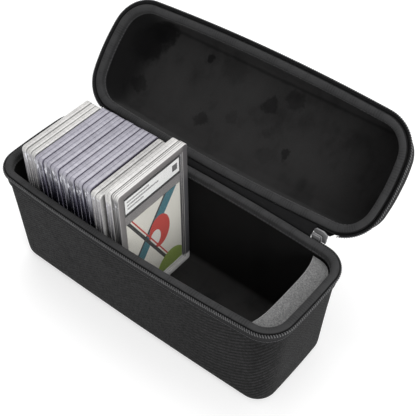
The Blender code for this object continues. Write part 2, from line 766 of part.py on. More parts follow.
def half_shell(thickness, depth_start, direction):
    # one moulded half of the front holder, drawn from its outer face inwards
    plan = (
        (0, HOLDER_EDGE),
        (HOLDER_EDGE, 0),
        (thickness, 0),
    )
    levels = []
    for depth, shrink in plan:
        ring = rounded_plate(FRONT_HOLDER_WIDTH - 2 * shrink, FRONT_HOLDER_HEIGHT - 2 * shrink,
                             HOLDER_CORNER - shrink, HOLDER_CORNER_STEPS)
        x = depth_start + direction * depth
        levels.append([Vector((x, u, w + FRONT_HOLDER_HEIGHT / 2)) for u, w in ring])
    return loft(levels)


def front_box(x_low, x_high, width, low, high):
    return box_mesh((x_low, -width / 2, low), (x_high, width / 2, high))


def make_front_holder(materials):
    # two clear halves with a card and a label between them
    stand = add_empty("front_holder_stand", (FRONT_HOLDER_FACE_X, FRONT_HOLDER_SHIFT, SEAT_Z))
    front = add_object("front_holder_front_half", half_shell(FRONT_HALF_THICKNESS, 0, -1),
                       materials["clear"], stand)
    back_thickness = FRONT_HOLDER_THICKNESS - FRONT_HALF_THICKNESS - GAP
    add_object("front_holder_back_half", half_shell(back_thickness, -FRONT_HOLDER_THICKNESS, 1),
               materials["clear"], stand)
    seam = -FRONT_HALF_THICKNESS
    label_top = FRONT_HOLDER_HEIGHT - LABEL_TOP_MARGIN
    label_low = label_top - LABEL_HEIGHT
    card_top = CARD_BOTTOM + CARD_HEIGHT
    window_low = CARD_BOTTOM - FRAME_BORDER / 2
    window = front_box(-WINDOW_DEPTH, WINDOW_DEPTH, FRONT_HOLDER_WIDTH - 2 * FRAME_BORDER,
                       window_low, card_top + FRAME_BORDER / 2)
    boolean(front, cutter("front_window", window, stand), "DIFFERENCE")
    card_depth = CARD_THICKNESS + 2 * POCKET_CLEARANCE
    card_pocket = front_box(seam - GAP, seam + card_depth, CARD_WIDTH + 2 * POCKET_CLEARANCE,
                            CARD_BOTTOM - POCKET_CLEARANCE, card_top + POCKET_CLEARANCE)
    boolean(front, cutter("card_pocket", card_pocket, stand), "DIFFERENCE")
    label_depth = LABEL_THICKNESS + 2 * POCKET_CLEARANCE
    label_pocket = front_box(seam - GAP, seam + label_depth, LABEL_WIDTH + 2 * POCKET_CLEARANCE,
                             label_low - POCKET_CLEARANCE, label_top + POCKET_CLEARANCE)
    boolean(front, cutter("label_pocket", label_pocket, stand), "DIFFERENCE")
    card = front_box(seam + POCKET_CLEARANCE, seam + POCKET_CLEARANCE + CARD_THICKNESS, CARD_WIDTH,
                     CARD_BOTTOM, card_top)
    add_object("graded_card", card, materials["card"], stand, smooth=False)
    label = front_box(seam + POCKET_CLEARANCE, seam + POCKET_CLEARANCE + LABEL_THICKNESS, LABEL_WIDTH,
                      label_low, label_top)
    add_object("grade_label", label, materials["label"], stand, smooth=False)


def make_materials():
    return {
        "weave": make_material("weave", (0.028, 0.028, 0.030), 0.8),
        "lining": make_material("lining", (0.008, 0.008, 0.009), 0.95),
        "binding": make_material("binding", (0.045, 0.045, 0.048), 0.75),
        "tape": make_material("tape", (0.020, 0.020, 0.022), 0.8),
        "chain": make_material("chain", (0.040, 0.040, 0.043), 0.5),
        "slider": make_material("slider", (0.42, 0.42, 0.43), 0.35, 0.9),
        "foam": make_material("foam", (0.24, 0.24, 0.24), 0.95),
        "clear": make_material("clear", (0.80, 0.80, 0.78), 0.15, alpha=0.5),
        "thick": make_material("thick", (0.62, 0.61, 0.58), 0.25),
        "plain": make_material("plain", (0.62, 0.61, 0.58), 0.25),
        "sealed": make_material("sealed", (0.50, 0.49, 0.58), 0.2),
        "slim": make_material("slim", (0.64, 0.62, 0.59), 0.25),
        "card": make_material("card", (0.70, 0.66, 0.55), 0.4),
        "label": make_material("label", (0.85, 0.85, 0.85), 0.5),
        "cutter": make_material("cutter", (0.5, 0.5, 0.5), 0.5),
    }


def main():
    clear_scene()
    materials = make_materials()
    hinge = lid_frame()
    make_tub(materials)
    make_tub_zip(materials)
    make_lid(materials, hinge)
    make_lid_zip(materials, hinge)
    make_hinge(materials, hinge)
    make_slider(1, materials)
    make_slider(-1, materials)
    make_pad(materials)
    make_holders(materials)
    make_front_holder(materials)


main()
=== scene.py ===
# %% [markdown]
# # A zipped storage case for graded cards
# The real case is two shells of moulded foam board. Woven nylon is bonded to the outside and
# short velvet to the inside. A folded tape binds each rim, a coil zip runs round three sides and
# one fabric strip along the back is the hinge. Card holders stand in the tub, held by a foam pad.
# The solids of the part fix every place and size. This script dresses them, piece by piece.

# %% Load the frame
import json
import math
import random

import bmesh
import bpy
import numpy as np
from mathutils import Matrix, Vector


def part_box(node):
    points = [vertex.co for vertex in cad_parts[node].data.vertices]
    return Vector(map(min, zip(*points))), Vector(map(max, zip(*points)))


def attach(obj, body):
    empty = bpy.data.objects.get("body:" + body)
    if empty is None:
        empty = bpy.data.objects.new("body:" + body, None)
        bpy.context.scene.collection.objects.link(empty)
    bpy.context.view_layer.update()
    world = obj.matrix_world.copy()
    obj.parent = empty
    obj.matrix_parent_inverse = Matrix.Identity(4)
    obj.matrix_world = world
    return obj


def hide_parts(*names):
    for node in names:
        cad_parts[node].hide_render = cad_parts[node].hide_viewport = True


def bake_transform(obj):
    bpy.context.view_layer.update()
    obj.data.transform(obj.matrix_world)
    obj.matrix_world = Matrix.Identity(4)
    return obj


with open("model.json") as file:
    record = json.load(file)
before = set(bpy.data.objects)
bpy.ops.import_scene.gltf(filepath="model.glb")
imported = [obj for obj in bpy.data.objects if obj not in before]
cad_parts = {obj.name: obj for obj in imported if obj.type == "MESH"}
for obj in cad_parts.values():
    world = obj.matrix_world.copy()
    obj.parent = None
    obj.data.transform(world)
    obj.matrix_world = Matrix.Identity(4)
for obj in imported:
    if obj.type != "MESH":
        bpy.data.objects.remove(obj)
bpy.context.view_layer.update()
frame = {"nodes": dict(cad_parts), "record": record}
MM = 0.001

# %% [markdown]
# ## Sizes
# A dressed piece has to lie on its solid, so the outline is drawn from the same sizes as the part:
# two long bowed sides, two short bowed ends and four round corners, at the rim and at the floor.
# Overall sizes are read from the frame; only what a box can't tell is written here.

# %% Sizes of the two halves
GAP = 0.3 * MM
TUB_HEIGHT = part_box("base_binding")[1].z
TUB_RIM_LENGTH = 288.2 * MM
TUB_RIM_WIDTH = 106.6 * MM
TUB_RIM = (TUB_RIM_LENGTH, TUB_RIM_WIDTH, 23.0 * MM, 6.0 * MM, 2.0 * MM)
TUB_FLOOR = (270.4 * MM, 94.0 * MM, 19.0 * MM, 1.5 * MM, 1.0 * MM)
TUB_FILLET = 10.4 * MM
LID_DEPTH = 45.0 * MM
LID_RIM_WIDTH = 104.8 * MM
LID_RIM = (289.2 * MM, LID_RIM_WIDTH, 30.0 * MM, 5.6 * MM, 8.0 * MM)
LID_CROWN = (284.2 * MM, 99.8 * MM, 28.0 * MM, 4.6 * MM, 7.5 * MM)
LID_FILLET = 12.0 * MM
BOARD = 3.0 * MM
WALL_THICKNESS = 2.6 * MM
LINING_THICKNESS = 0.7 * MM
LINING_FILLET = 4.5 * MM
BINDING_THICKNESS = 1.2 * MM
RIM_WIDTH = 6.6 * MM
SHELL_INSET = BINDING_THICKNESS + GAP
LINING_INSET = SHELL_INSET + WALL_THICKNESS + GAP
LINING_INNER_INSET = LINING_INSET + LINING_THICKNESS
HINGE_Y = TUB_RIM_WIDTH / 2 + 1.5 * MM
HINGE_Z = TUB_HEIGHT + 0.1 * MM
OPEN_ANGLE = math.radians(133.3)
LID_RIM_Z = TUB_HEIGHT + 0.4 * MM
LID_MIDDLE_Y = (LID_RIM_WIDTH - TUB_RIM_WIDTH) / 2 - 0.2 * MM
SIDE_STEPS = 84
CORNER_STEPS = 30
END_STEPS = 26


# %% The outline, with its outward direction at each point
def outline(length, width, corner, long_bow, end_bow):
    half_length, half_width = length / 2, width / 2
    long_radius = (half_length ** 2 + long_bow ** 2) / (2 * long_bow)
    end_radius = (half_width ** 2 + end_bow ** 2) / (2 * end_bow)
    long_centre = np.array([0, half_width - long_radius])
    end_centre = np.array([half_length - end_radius, 0])
    reach_long, reach_end = long_radius - corner, end_radius - corner
    between = end_centre - long_centre
    span = np.linalg.norm(between)
    along = (reach_long ** 2 - reach_end ** 2 + span ** 2) / (2 * span)
    aside = math.sqrt(reach_long ** 2 - along ** 2)
    unit = between / span
    corner_centre = long_centre + unit * along + np.array([unit[1], -unit[0]]) * aside
    to_corner = corner_centre - long_centre
    from_end = corner_centre - end_centre
    side_stop = math.atan2(to_corner[1], to_corner[0])
    end_start = math.atan2(from_end[1], from_end[0])
    arcs = (
        (long_centre, long_radius, math.pi / 2, side_stop, SIDE_STEPS),
        (corner_centre, corner, side_stop, end_start, CORNER_STEPS),
        (end_centre, end_radius, end_start, 0, END_STEPS),
    )
    points, outward = [], []
    for centre, radius, start, stop, steps in arcs:
        angle = start + (stop - start) * np.arange(steps) / steps
        way = np.column_stack([np.cos(angle), np.sin(angle)])
        points.append(centre + way * radius)
        outward.append(way)
    points.append(np.array([[half_length, 0]]))
    outward.append(np.array([[1, 0]]))
    return mirrored(np.concatenate(points)), mirrored(np.concatenate(outward))


def mirrored(quarter):
    # a quarter from the middle of the back to the right-hand end, made into the whole ring
    right = np.concatenate([quarter, quarter[-2::-1] * (1, -1)])
    return np.concatenate([right, right[-2:0:-1] * (-1, 1)])


def closed(ring):
    return np.concatenate([ring, ring[:1]])


def distances(points):
    # how far along a line each of its points lies
    return np.concatenate([[0], np.cumsum(np.linalg.norm(np.diff(points, axis=0), axis=1))])


# %% [markdown]
# Each half tapers from its rim to its closed end. The lid is drawn like a second tub, then one
# function turns it over onto the rim and swings it open about the hinge line.


# %% The two halves
class Half:
    def __init__(self, floor, rim, depth, place):
        self.floor, self.floor_out = outline(*floor)
        self.rim, self.rim_out = outline(*rim)
        self.depth, self.place = depth, place
        self.run = distances(closed(self.rim))

    def flat(self, height, inset):
        share = height / self.depth
        low = self.floor - self.floor_out * inset
        high = self.rim - self.rim_out * inset
        return low * (1 - share) + high * share

    def ring(self, height, inset):
        flat = self.flat(height, inset)
        return np.column_stack([flat, np.full(len(flat), height)])


def stay(points):
    return points


def swing_open(points):
    y = points[..., 1] + LID_MIDDLE_Y - HINGE_Y
    z = LID_RIM_Z + LID_DEPTH - points[..., 2] - HINGE_Z
    turned = points.copy()
    turned[..., 1] = HINGE_Y + y * math.cos(OPEN_ANGLE) + z * math.sin(OPEN_ANGLE)
    turned[..., 2] = HINGE_Z - y * math.sin(OPEN_ANGLE) + z * math.cos(OPEN_ANGLE)
    return turned


TUB = Half(TUB_FLOOR, TUB_RIM, TUB_HEIGHT, stay)
LID = Half(LID_CROWN, LID_RIM, LID_DEPTH, swing_open)
print("rim length of the tub: %.0f mm, of the lid: %.0f mm" % (TUB.run[-1] / MM, LID.run[-1] / MM))


# %% [markdown]
# ## Meshes
# Nearly every fabric piece here is a grid: rings or ribs of points, joined by quads. A grid
# carries a map in metres, so that a weave has its real pitch on every piece.


# %% Meshes from grids of points
def grid_faces(rows, count, closed_rows, closed_run):
    row = np.arange(rows if closed_rows else rows - 1)
    step = np.arange(count if closed_run else count - 1)
    r, k = np.meshgrid(row, step, indexing="ij")
    r2, k2 = (r + 1) % rows, (k + 1) % count
    return np.stack([r * count + k, r * count + k2, r2 * count + k2, r2 * count + k], -1).reshape(-1, 4)


def grid_mesh(name, grid, chart, closed_rows=False, closed_run=True):
    # grid is rows x points x 3; chart is (rows + 1) x (points + 1) x 2, in metres
    rows, count = grid.shape[:2]
    faces = grid_faces(rows, count, closed_rows, closed_run).tolist()
    if not closed_rows:
        faces.append(list(range(count - 1, -1, -1)))
        faces.append([(rows - 1) * count + k for k in range(count)])
    if not closed_run:
        faces.append([r * count for r in range(rows)])
        faces.append([r * count + count - 1 for r in range(rows - 1, -1, -1)])
    mesh = bpy.data.meshes.new(name)
    mesh.from_pydata(grid.reshape(-1, 3).tolist(), [], faces)
    layer = mesh.uv_layers.new(name="chart")
    strips, steps = rows if closed_rows else rows - 1, count if closed_run else count - 1
    quads = strips * steps
    r, k = np.repeat(np.arange(strips), steps), np.tile(np.arange(steps), strips)
    corners = np.stack([chart[r, k], chart[r, k + 1], chart[r + 1, k + 1], chart[r + 1, k]], 1)
    values = np.zeros((len(mesh.loops), 2))
    values[: quads * 4] = corners.reshape(-1, 2)
    for polygon in list(mesh.polygons)[quads:]:
        for loop in polygon.loop_indices:
            values[loop] = grid.reshape(-1, 3)[mesh.loops[loop].vertex_index][:2]
    layer.data.foreach_set("uv", values.astype(np.float32).ravel())
    return mesh


# how a grid closes: a tube has two caps, a loop none, and a band is a loop cut across
LOOP = {"closed_rows": True}
BAND = {"closed_rows": True, "closed_run": False}


def tidy_mesh(mesh, angle=40):
    # faces out, smooth, with an edge kept only where the surface turns sharply
    bm = bmesh.new()
    bm.from_mesh(mesh)
    bmesh.ops.recalc_face_normals(bm, faces=bm.faces)
    if bm.calc_volume(signed=True) < 0:
        bmesh.ops.reverse_faces(bm, faces=bm.faces)
    bm.to_mesh(mesh)
    bm.free()
    mesh.shade_smooth()
    mesh.set_sharp_from_angle(angle=math.radians(angle))
    return mesh


def dress(name, mesh, finish, body, slot, *nodes):
    # put a mesh in the scene as a piece: its finish, the body it rides on and its nodes; slot is not used
    piece = bpy.data.objects.new(name, mesh)
    bpy.context.scene.collection.objects.link(piece)
    mesh.materials.append(finish)
    if body:
        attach(piece, body)
    if nodes:
        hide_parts(*nodes)
    return piece


def chart_of(run, rise):
    return np.stack(np.meshgrid(run, rise, indexing="xy"), -1)


def rim_chart(run, section):
    # run along the rim, and the distance along the section, closed back to its first point
    return chart_of(run, distances(closed(section)))


def blank_chart(grid):
    return np.zeros((grid.shape[0] + 1, grid.shape[1] + 1, 2))


# %% [markdown]
# ## Finishes
# A finish is a small tree of nodes round one Principled shader. Two helpers keep the trees short
# to write: a Value is one output of a node, used in sums like a number, and Finish adds nodes.

# %% Helpers for building finishes
def sum_node(operation, swapped=False):
    def act(self, other=0):
        first, second = (other, self) if swapped else (self, other)
        return self.finish.math(operation, first, second)
    return act


class Value:
    # one output of a node
    __add__, __mul__, __abs__ = sum_node("ADD"), sum_node("MULTIPLY"), sum_node("ABSOLUTE")
    __sub__, __rsub__ = sum_node("SUBTRACT"), sum_node("SUBTRACT", swapped=True)
    __gt__, __lt__ = sum_node("GREATER_THAN"), sum_node("LESS_THAN")
    sine, root, fold = sum_node("SINE"), sum_node("SQRT"), sum_node("PINGPONG")

    def __init__(self, finish, socket):
        self.finish, self.socket = finish, socket

    def scaled(self, factor, plus):
        return self.finish.math("MULTIPLY_ADD", self, factor, plus)

    def wave(self, pitch):
        # a full wave each pitch, from 0 to 1
        return (self * (2 * math.pi / pitch)).sine().scaled(0.5, 0.5)

    def between(self, low, high):
        return (self > low) * (self < high)

    def step(self, low, high, top=1.0):
        # 0 before low, top after high, and a soft curve between; it also runs backwards
        sockets = {"Value": self, "From Min": low, "From Max": high, "To Max": top}
        return self.finish.add("ShaderNodeMapRange", sockets, interpolation_type="SMOOTHSTEP")

    def split(self):
        parts = self.finish.add("ShaderNodeSeparateXYZ", {"Vector": self}).socket.node.outputs
        return [Value(self.finish, part) for part in parts]


class Finish:
    def __init__(self, name, colour, roughness, metallic=0, sheen=0, specular=0.5, coat=0, alpha=1):
        self.material = bpy.data.materials.new(name)
        self.material.use_nodes = True
        self.tree = self.material.node_tree
        self.shader = self.tree.nodes["Principled BSDF"]
        values = {"Base Color": colour, "Roughness": roughness, "Metallic": metallic,
                  "Sheen Weight": sheen, "Specular IOR Level": specular, "Coat Weight": coat,
                  "Alpha": alpha}
        for socket, value in values.items():
            self.set(socket, value)
        self.space, self.chart = (self.add("ShaderNodeTexCoord", output=kind) for kind in ("Object", "UV"))

    def add(self, kind, sockets=None, output=0, **settings):
        node = self.tree.nodes.new(kind)
        for key, value in settings.items():
            setattr(node, key, value)
        for socket, value in (sockets or {}).items():
            self.put(node.inputs[socket], value)
        return Value(self, node.outputs[output])

    def put(self, socket, value):
        if isinstance(value, Value):
            self.tree.links.new(value.socket, socket)
        else:
            socket.default_value = (*value, 1) if socket.type == "RGBA" else value

    def set(self, name, value):
        self.put(self.shader.inputs[name], value)

    def math(self, operation, a, b=0, c=0):
        return self.add("ShaderNodeMath", {0: a, 1: b, 2: c}, operation=operation)

    def mix(self, share, low, high):
        return self.add("ShaderNodeMix", {"Factor": share, 6: low, 7: high}, 2, data_type="RGBA")

    def ramp(self, value, *stops):
        ramp = self.add("ShaderNodeValToRGB", {"Fac": value})
        elements = ramp.socket.node.color_ramp.elements
        while len(elements) < len(stops):
            elements.new(0.5)
        for element, (place, colour) in zip(elements, stops):
            element.position = place
            element.color = (*colour, 1) if isinstance(colour, tuple) else (colour, colour, colour, 1)
        return ramp

    def noise(self, size, detail=2.0, roughness=0.5, place=None, stretch=(1, 1, 1)):
        # size is the width of one blotch, in metres
        mapped = self.add("ShaderNodeMapping", {"Vector": place or self.space, "Scale": stretch})
        return self.add("ShaderNodeTexNoise", {"Vector": mapped, "Scale": 1 / size, "Detail": detail,
                                               "Roughness": roughness}, "Fac")

    def facing(self, kind="True Normal"):
        return self.add("ShaderNodeNewGeometry", output=kind).split()

    def bump(self, height, distance, strength=1.0):
        sockets = {"Height": height, "Distance": distance, "Strength": strength}
        self.set("Normal", self.add("ShaderNodeBump", sockets))


# %% [markdown]
# The outside is ballistic nylon: fat yarns in a plain weave, over one and under one. Two sine
# waves give the round backs of the yarns, and the sign of their product says which one is on top.
# In the photograph thin bars run across the right of the front wall, as a fine weave often shows
# in a small picture, and the fabric darkens to the right as painted shade. Both are painted over the weave.

# %% Woven nylon for the shells
YARN = 1.15 * MM
BAR_PITCH, BAR_LOW = 4.0 * MM, 108 * MM
BAR_SLOPE, BAR_CURVE, BAR_DEPTH = 0.62, 7.5, 1.6
BARS_SHOWN, FRONT_WALL = (40 * MM, 95 * MM, 0.85), (-26 * MM, -40 * MM)
# painted shade: the nylon darkens towards the right and again on the end
SHADE_TO_RIGHT, SHADE_ON_END = (-130 * MM, 120 * MM, 0.42), (136 * MM, 143 * MM, 0.40)


def woven_nylon():
    finish = Finish("woven_nylon", (0.028, 0.028, 0.030), 0.72, sheen=0.02, specular=0.08)
    u, v, _ = finish.chart.split()
    across, along = ((run * (math.pi / YARN)).sine() for run in (u, v))
    warp_on_top = across * along > 0
    warp, weft = abs(across), abs(along)
    height = (warp - weft).scaled(warp_on_top, weft)
    slub = finish.noise(1.4 * MM, 1, place=finish.chart, stretch=(1, 0.2, 1))
    yarn = finish.mix(warp_on_top, (0.009, 0.009, 0.0094), (0.026, 0.026, 0.0270))
    worn = finish.mix(slub * height, yarn, (0.050, 0.050, 0.0515))
    shade = finish.mix(finish.noise(38 * MM, 2) * 0.4, worn, (0.009, 0.009, 0.0095))
    speck = finish.ramp(finish.noise(2.2 * MM, 2, 0.7), (0.34, 0.45), (0.66, 1.45))
    curl = finish.ramp(finish.noise(7 * MM, 3, 0.6), (0.36, 0.80), (0.60, 1.10))
    x, y, z = finish.space.split()
    from_low = x - BAR_LOW
    slant = x.scaled(-BAR_SLOPE, z) + from_low * from_low * -BAR_CURVE
    shown = x.step(*BARS_SHOWN) * y.step(*FRONT_WALL)
    bars = (slant.wave(BAR_PITCH) - 0.5).scaled(shown * BAR_DEPTH, 1.0)
    # painted shade: the cloth is painted darker towards the right end, and darker again on the end itself
    end_shade = (1.0 - x.step(*SHADE_TO_RIGHT)) * (1.0 - x.step(*SHADE_ON_END))
    tone = (speck * curl) * (bars * end_shade)
    finish.set("Base Color", finish.add("ShaderNodeVectorMath", {0: shade, "Scale": tone}, operation="SCALE"))
    finish.set("Roughness", height.scaled(-0.16, 0.82))
    finish.bump(height, 0.16 * MM)
    return finish.material


NYLON = woven_nylon()
print("yarn pitch %.2f mm" % (YARN / MM))

# %% [markdown]
# The lining is short velvet. Its nap lies this way and that, so it shows soft dark and light
# blotches with fuzzy edges, and a faint glow at grazing angles that the sheen setting gives.

# %% Velvet for the linings
def velvet(name, light):
    finish = Finish(name, light, 0.95, sheen=0.04, specular=0.04)
    cloud = finish.noise(46 * MM, 3, 0.55)
    smear = finish.noise(15 * MM, 3, 0.6, stretch=(1, 0.6, 0.6))
    fuzz = finish.noise(0.7 * MM, 2, 0.7)
    nap = finish.ramp(smear.scaled(0.35, cloud * 0.75), (0.38, 0.45), (0.53, 0.85), (0.72, 1.0))
    finish.bump(fuzz, 0.25 * MM, 0.6)
    return finish, nap * fuzz.scaled(0.45, 0.68)


# %% [markdown]
# The lid's lining has been touched and pressed. Where a finger or a holder pushed the nap over,
# a dark mark stays. The marks are set on the chart of the lining, each with a torn edge made by
# adding noise to its distance. A line of painted shade runs along the fold at the far side, and the ends are
# darker.

# %% Marks in the lid's lining
MARKS = (
    # across and along in mm, radius in mm, depth
    (-67.0, -29.0, 3.6, 0.75), (5.0, -15.0, 7.5, 0.55), (37.0, 16.5, 4.2, 0.60),
    (-51.0, 22.0, 6.0, 0.45), (24.0, -27.0, 9.0, 0.45), (-133.0, -18.0, 19.0, 0.88),
    (-119.0, -33.0, 13.0, 0.85), (-124.0, 20.0, 8.0, 0.5), (-22.0, 8.0, 6.0, 0.22),
    (-40.0, -30.0, 13.0, 0.25), (14.0, 8.0, 4.0, 0.25), (20.0, 26.0, 7.0, 0.18),
)
TORN = 15.0 * MM
FOLD_LINE, FOLD_WIDTH = -38.0 * MM, 2.4 * MM
LID_DARK_ENDS = ((80 * MM, 140 * MM, 0.55), (-118 * MM, -136 * MM, 0.86))


def marked_velvet():
    dark, light = (0.0050, 0.0050, 0.0052), (0.0375, 0.0368, 0.0368)
    finish, tone = velvet("velvet_lid", light)
    u, v, _ = finish.chart.split()
    torn = finish.noise(7 * MM, 4, 0.65).scaled(TORN, -TORN / 2)
    for x, y, radius, depth in MARKS:
        across, along = u - x * MM, v - y * MM
        away = across.scaled(across, along * along).root()
        mark = (away + torn).step(radius * MM * 1.25, radius * MM * 0.7, depth)
        tone = tone * (1 - mark)
    # painted shade: a dark line along the fold where the far wall meets the crown
    fold_shade = torn.scaled(0.15, abs(v - FOLD_LINE)).step(FOLD_WIDTH, 0, 0.5)
    for shade in (fold_shade, *(u.step(*end) for end in LID_DARK_ENDS)):
        tone = tone * (1 - shade)
    finish.set("Base Color", finish.mix(tone, dark, light))
    return finish.material


def plain_velvet():
    # painted shade: the tub's lining is painted far darker on its walls than on its floor, for the shade
    # inside the deep tub
    dark, light = (0.0018, 0.0018, 0.0019), (0.0072, 0.0070, 0.0070)
    finish, tone = velvet("velvet_tub", light)
    on_floor = finish.space.split()[2].step(11 * MM, 5 * MM)
    finish.set("Base Color", finish.mix(tone, dark, finish.mix(on_floor, light, (0.050, 0.049, 0.049))))
    return finish.material


LID_VELVET = marked_velvet()
TUB_VELVET = plain_velvet()

# %% [markdown]
# Binding tape and zip tape are narrow ribbons. The binding is grosgrain with fine ribs across
# it, a dark line of painted shade where it turns over its shoulder, and small puckers where the
# seam pulls, whose creases are painted shade. The zip tape is a herringbone, whose slanted ribs
# change direction every few millimetres.

# %% Ribbons, thread, coil and metal
RIB, TAPE_RIB = 0.75 * MM, 1.1 * MM
PULL_PITCH = 2.2 * MM
HERRINGBONE = 3.0 * MM
SHOULDER_SHADE = ((0.2 * MM, 0.7 * MM), (3.4 * MM, 2.4 * MM))


def grosgrain():
    finish = Finish("grosgrain", (0.050, 0.050, 0.052), 0.7, sheen=0.05, specular=0.15)
    u, v, _ = finish.chart.split()
    rib = u.wave(RIB)
    height = v.wave(0.9 * MM).scaled(0.3, rib)
    ribbed = finish.mix(rib, (0.022, 0.022, 0.023), (0.047, 0.047, 0.048))
    faded = finish.mix(finish.noise(9 * MM, 3, place=finish.chart) * 0.4, ribbed, (0.052, 0.052, 0.053))
    # painted shade: a dark line over the outer shoulder, where the binding meets the coil
    shoulder_shade = v.step(*SHOULDER_SHADE[0]) * v.step(*SHOULDER_SHADE[1])
    uneven = finish.noise(11 * MM, 3, place=finish.chart)
    # painted shade: dark stripes at the pucker pitch, standing for the shade in the pucker creases
    pull = u.wave(PULL_PITCH) * uneven.step(0.40, 0.62, 0.55)
    pucker_shaded = finish.mix(pull, faded, (0.010, 0.010, 0.0105))
    finish.set("Base Color", finish.mix(shoulder_shade, pucker_shaded, (0.0035, 0.0035, 0.0037)))
    finish.bump(height, 0.14 * MM)
    return finish.material


def zip_tape_finish(name, low, high, worn):
    finish = Finish(name, high, 0.8, sheen=0.02, specular=0.1)
    u, v, _ = finish.chart.split()
    rib = (u + v.fold(HERRINGBONE / 2)).wave(TAPE_RIB)
    finish.set("Base Color", finish.mix(finish.noise(12 * MM, 2) * 0.3, finish.mix(rib, low, high), worn))
    finish.bump(rib, 0.15 * MM)
    return finish.material


def thread_finish():
    finish = Finish("thread", (0.060, 0.060, 0.063), 0.6, sheen=0.3)
    twist = finish.noise(0.5 * MM, 1)
    finish.set("Base Color", finish.mix(twist, (0.035, 0.035, 0.037), (0.095, 0.095, 0.100)))
    return finish.material


def coil_nylon():
    finish = Finish("coil_nylon", (0.10, 0.10, 0.10), 0.38, specular=0.4)
    rub = finish.noise(5 * MM, 2)
    finish.set("Base Color", finish.mix(rub, (0.045, 0.045, 0.047), (0.140, 0.140, 0.144)))
    finish.set("Roughness", rub.scaled(0.3, 0.25))
    return finish.material


def plated_metal():
    finish = Finish("plated_metal", (0.16, 0.16, 0.16), 0.5, metallic=0.3)
    tumble, cloud = finish.noise(1.6 * MM, 3, 0.6), finish.noise(4 * MM, 2)
    finish.set("Base Color", finish.mix(cloud, (0.14, 0.14, 0.143), (0.28, 0.28, 0.285)))
    finish.set("Roughness", tumble.scaled(0.3, 0.4))
    finish.bump(tumble, 0.05 * MM, 0.5)
    return finish.material


GROSGRAIN = grosgrain()
TAPE = zip_tape_finish("herringbone_tape", (0.007, 0.007, 0.0075), (0.022, 0.022, 0.023),
                       (0.028, 0.028, 0.029))
# painted shade: the hinge strip and the tabs get a darker copy of the tape, for the gap behind the hinge
SHADED_HINGE_TAPE = zip_tape_finish("hinge_tape_shaded", (0.003, 0.003, 0.0032), (0.009, 0.009, 0.0095),
                             (0.014, 0.014, 0.0145))
THREAD, COIL, METAL = thread_finish(), coil_nylon(), plated_metal()

# %% [markdown]
# ## Shells and linings
# A moulded shell is a tray with a thick edge. The fabric was one flat sheet before the press
# drew it over the mould, so the chart keeps the floor flat and lays the walls outwards from it.
# On the walls the yarns then run level and upright, and at the corners they fan out.

# %% Trays
FLOOR_SHARES = (0.04, 0.3, 0.55, 0.75, 0.9)
FILLET_STEPS = 10
WALL_STEPS = 14


def fillet_profile(inset, floor, radius):
    turn = np.linspace(0, math.pi / 2, FILLET_STEPS)
    return np.column_stack([inset + radius * (1 - np.sin(turn)), floor + radius * (1 - np.cos(turn))])


def wall_profile(inset, low, high):
    heights = np.linspace(low, high, WALL_STEPS)[1:]
    return np.column_stack([np.full(len(heights), inset), heights])


def face_rings(half, inset, floor, radius, top):
    # rings of one face of a tray from the middle of its floor to its rim, with their flat chart
    fillet = fillet_profile(inset, floor, radius)
    profile = np.concatenate([fillet, wall_profile(inset, floor + radius, top)])
    foot = half.flat(floor, fillet[0][0])
    rings, chart = [], []
    for share in FLOOR_SHARES:
        flat = foot * share
        rings.append(np.column_stack([flat, np.full(len(flat), floor)]))
        chart.append(flat)
    for length, (depth, height) in zip(distances(profile), profile):
        rings.append(half.ring(height, depth))
        chart.append(foot + half.floor_out * length)
    return rings, chart


def tray_mesh(name, half, outer, inner, top, shape=None):
    out_rings, out_chart = face_rings(half, *outer, top)
    in_rings, in_chart = face_rings(half, *inner, top)
    grid = np.array(out_rings + in_rings[::-1])
    if shape:
        grid = shape(grid, len(out_rings))
    flat = np.array(out_chart + in_chart[::-1] + in_chart[:1])
    chart = np.concatenate([flat, flat[:, :1]], axis=1)
    return tidy_mesh(grid_mesh(name, half.place(grid), chart))


# %% [markdown]
# No soft shell is perfectly even. The walls get a slow ripple of a few tenths of a millimetre,
# strongest halfway up, so that light breaks on them as it does on bonded fabric.

# %% Slow ripples in a wall
RIPPLE = 0.35 * MM


def ripples(count, phase):
    turn = np.linspace(0, 2 * math.pi, count, endpoint=False)
    waves = np.sin(5 * turn + phase) + 0.6 * np.sin(11 * turn + 2 * phase) + 0.4 * np.sin(23 * turn)
    return waves / 2


def soften(half, phase, sides):
    def shape(grid, outer_rows):
        soft = grid.copy()
        wave_run = ripples(grid.shape[1], phase)
        for row in range(grid.shape[0]):
            if (row < outer_rows) not in sides:
                continue
            share = np.clip(grid[row, :, 2] / half.depth, 0, 1)
            sway = np.sin(math.pi * share) * np.roll(wave_run, row * 2) * RIPPLE
            soft[row, :, :2] += half.rim_out * sway[:, None]
        return soft
    return shape


WALL_TOP = TUB_HEIGHT - BINDING_THICKNESS - GAP
LID_WALL_TOP = LID_DEPTH - BINDING_THICKNESS - GAP
LID_LINING_FLOOR = BOARD + GAP
LID_LINING_FILLET = LID_FILLET - WALL_THICKNESS - GAP

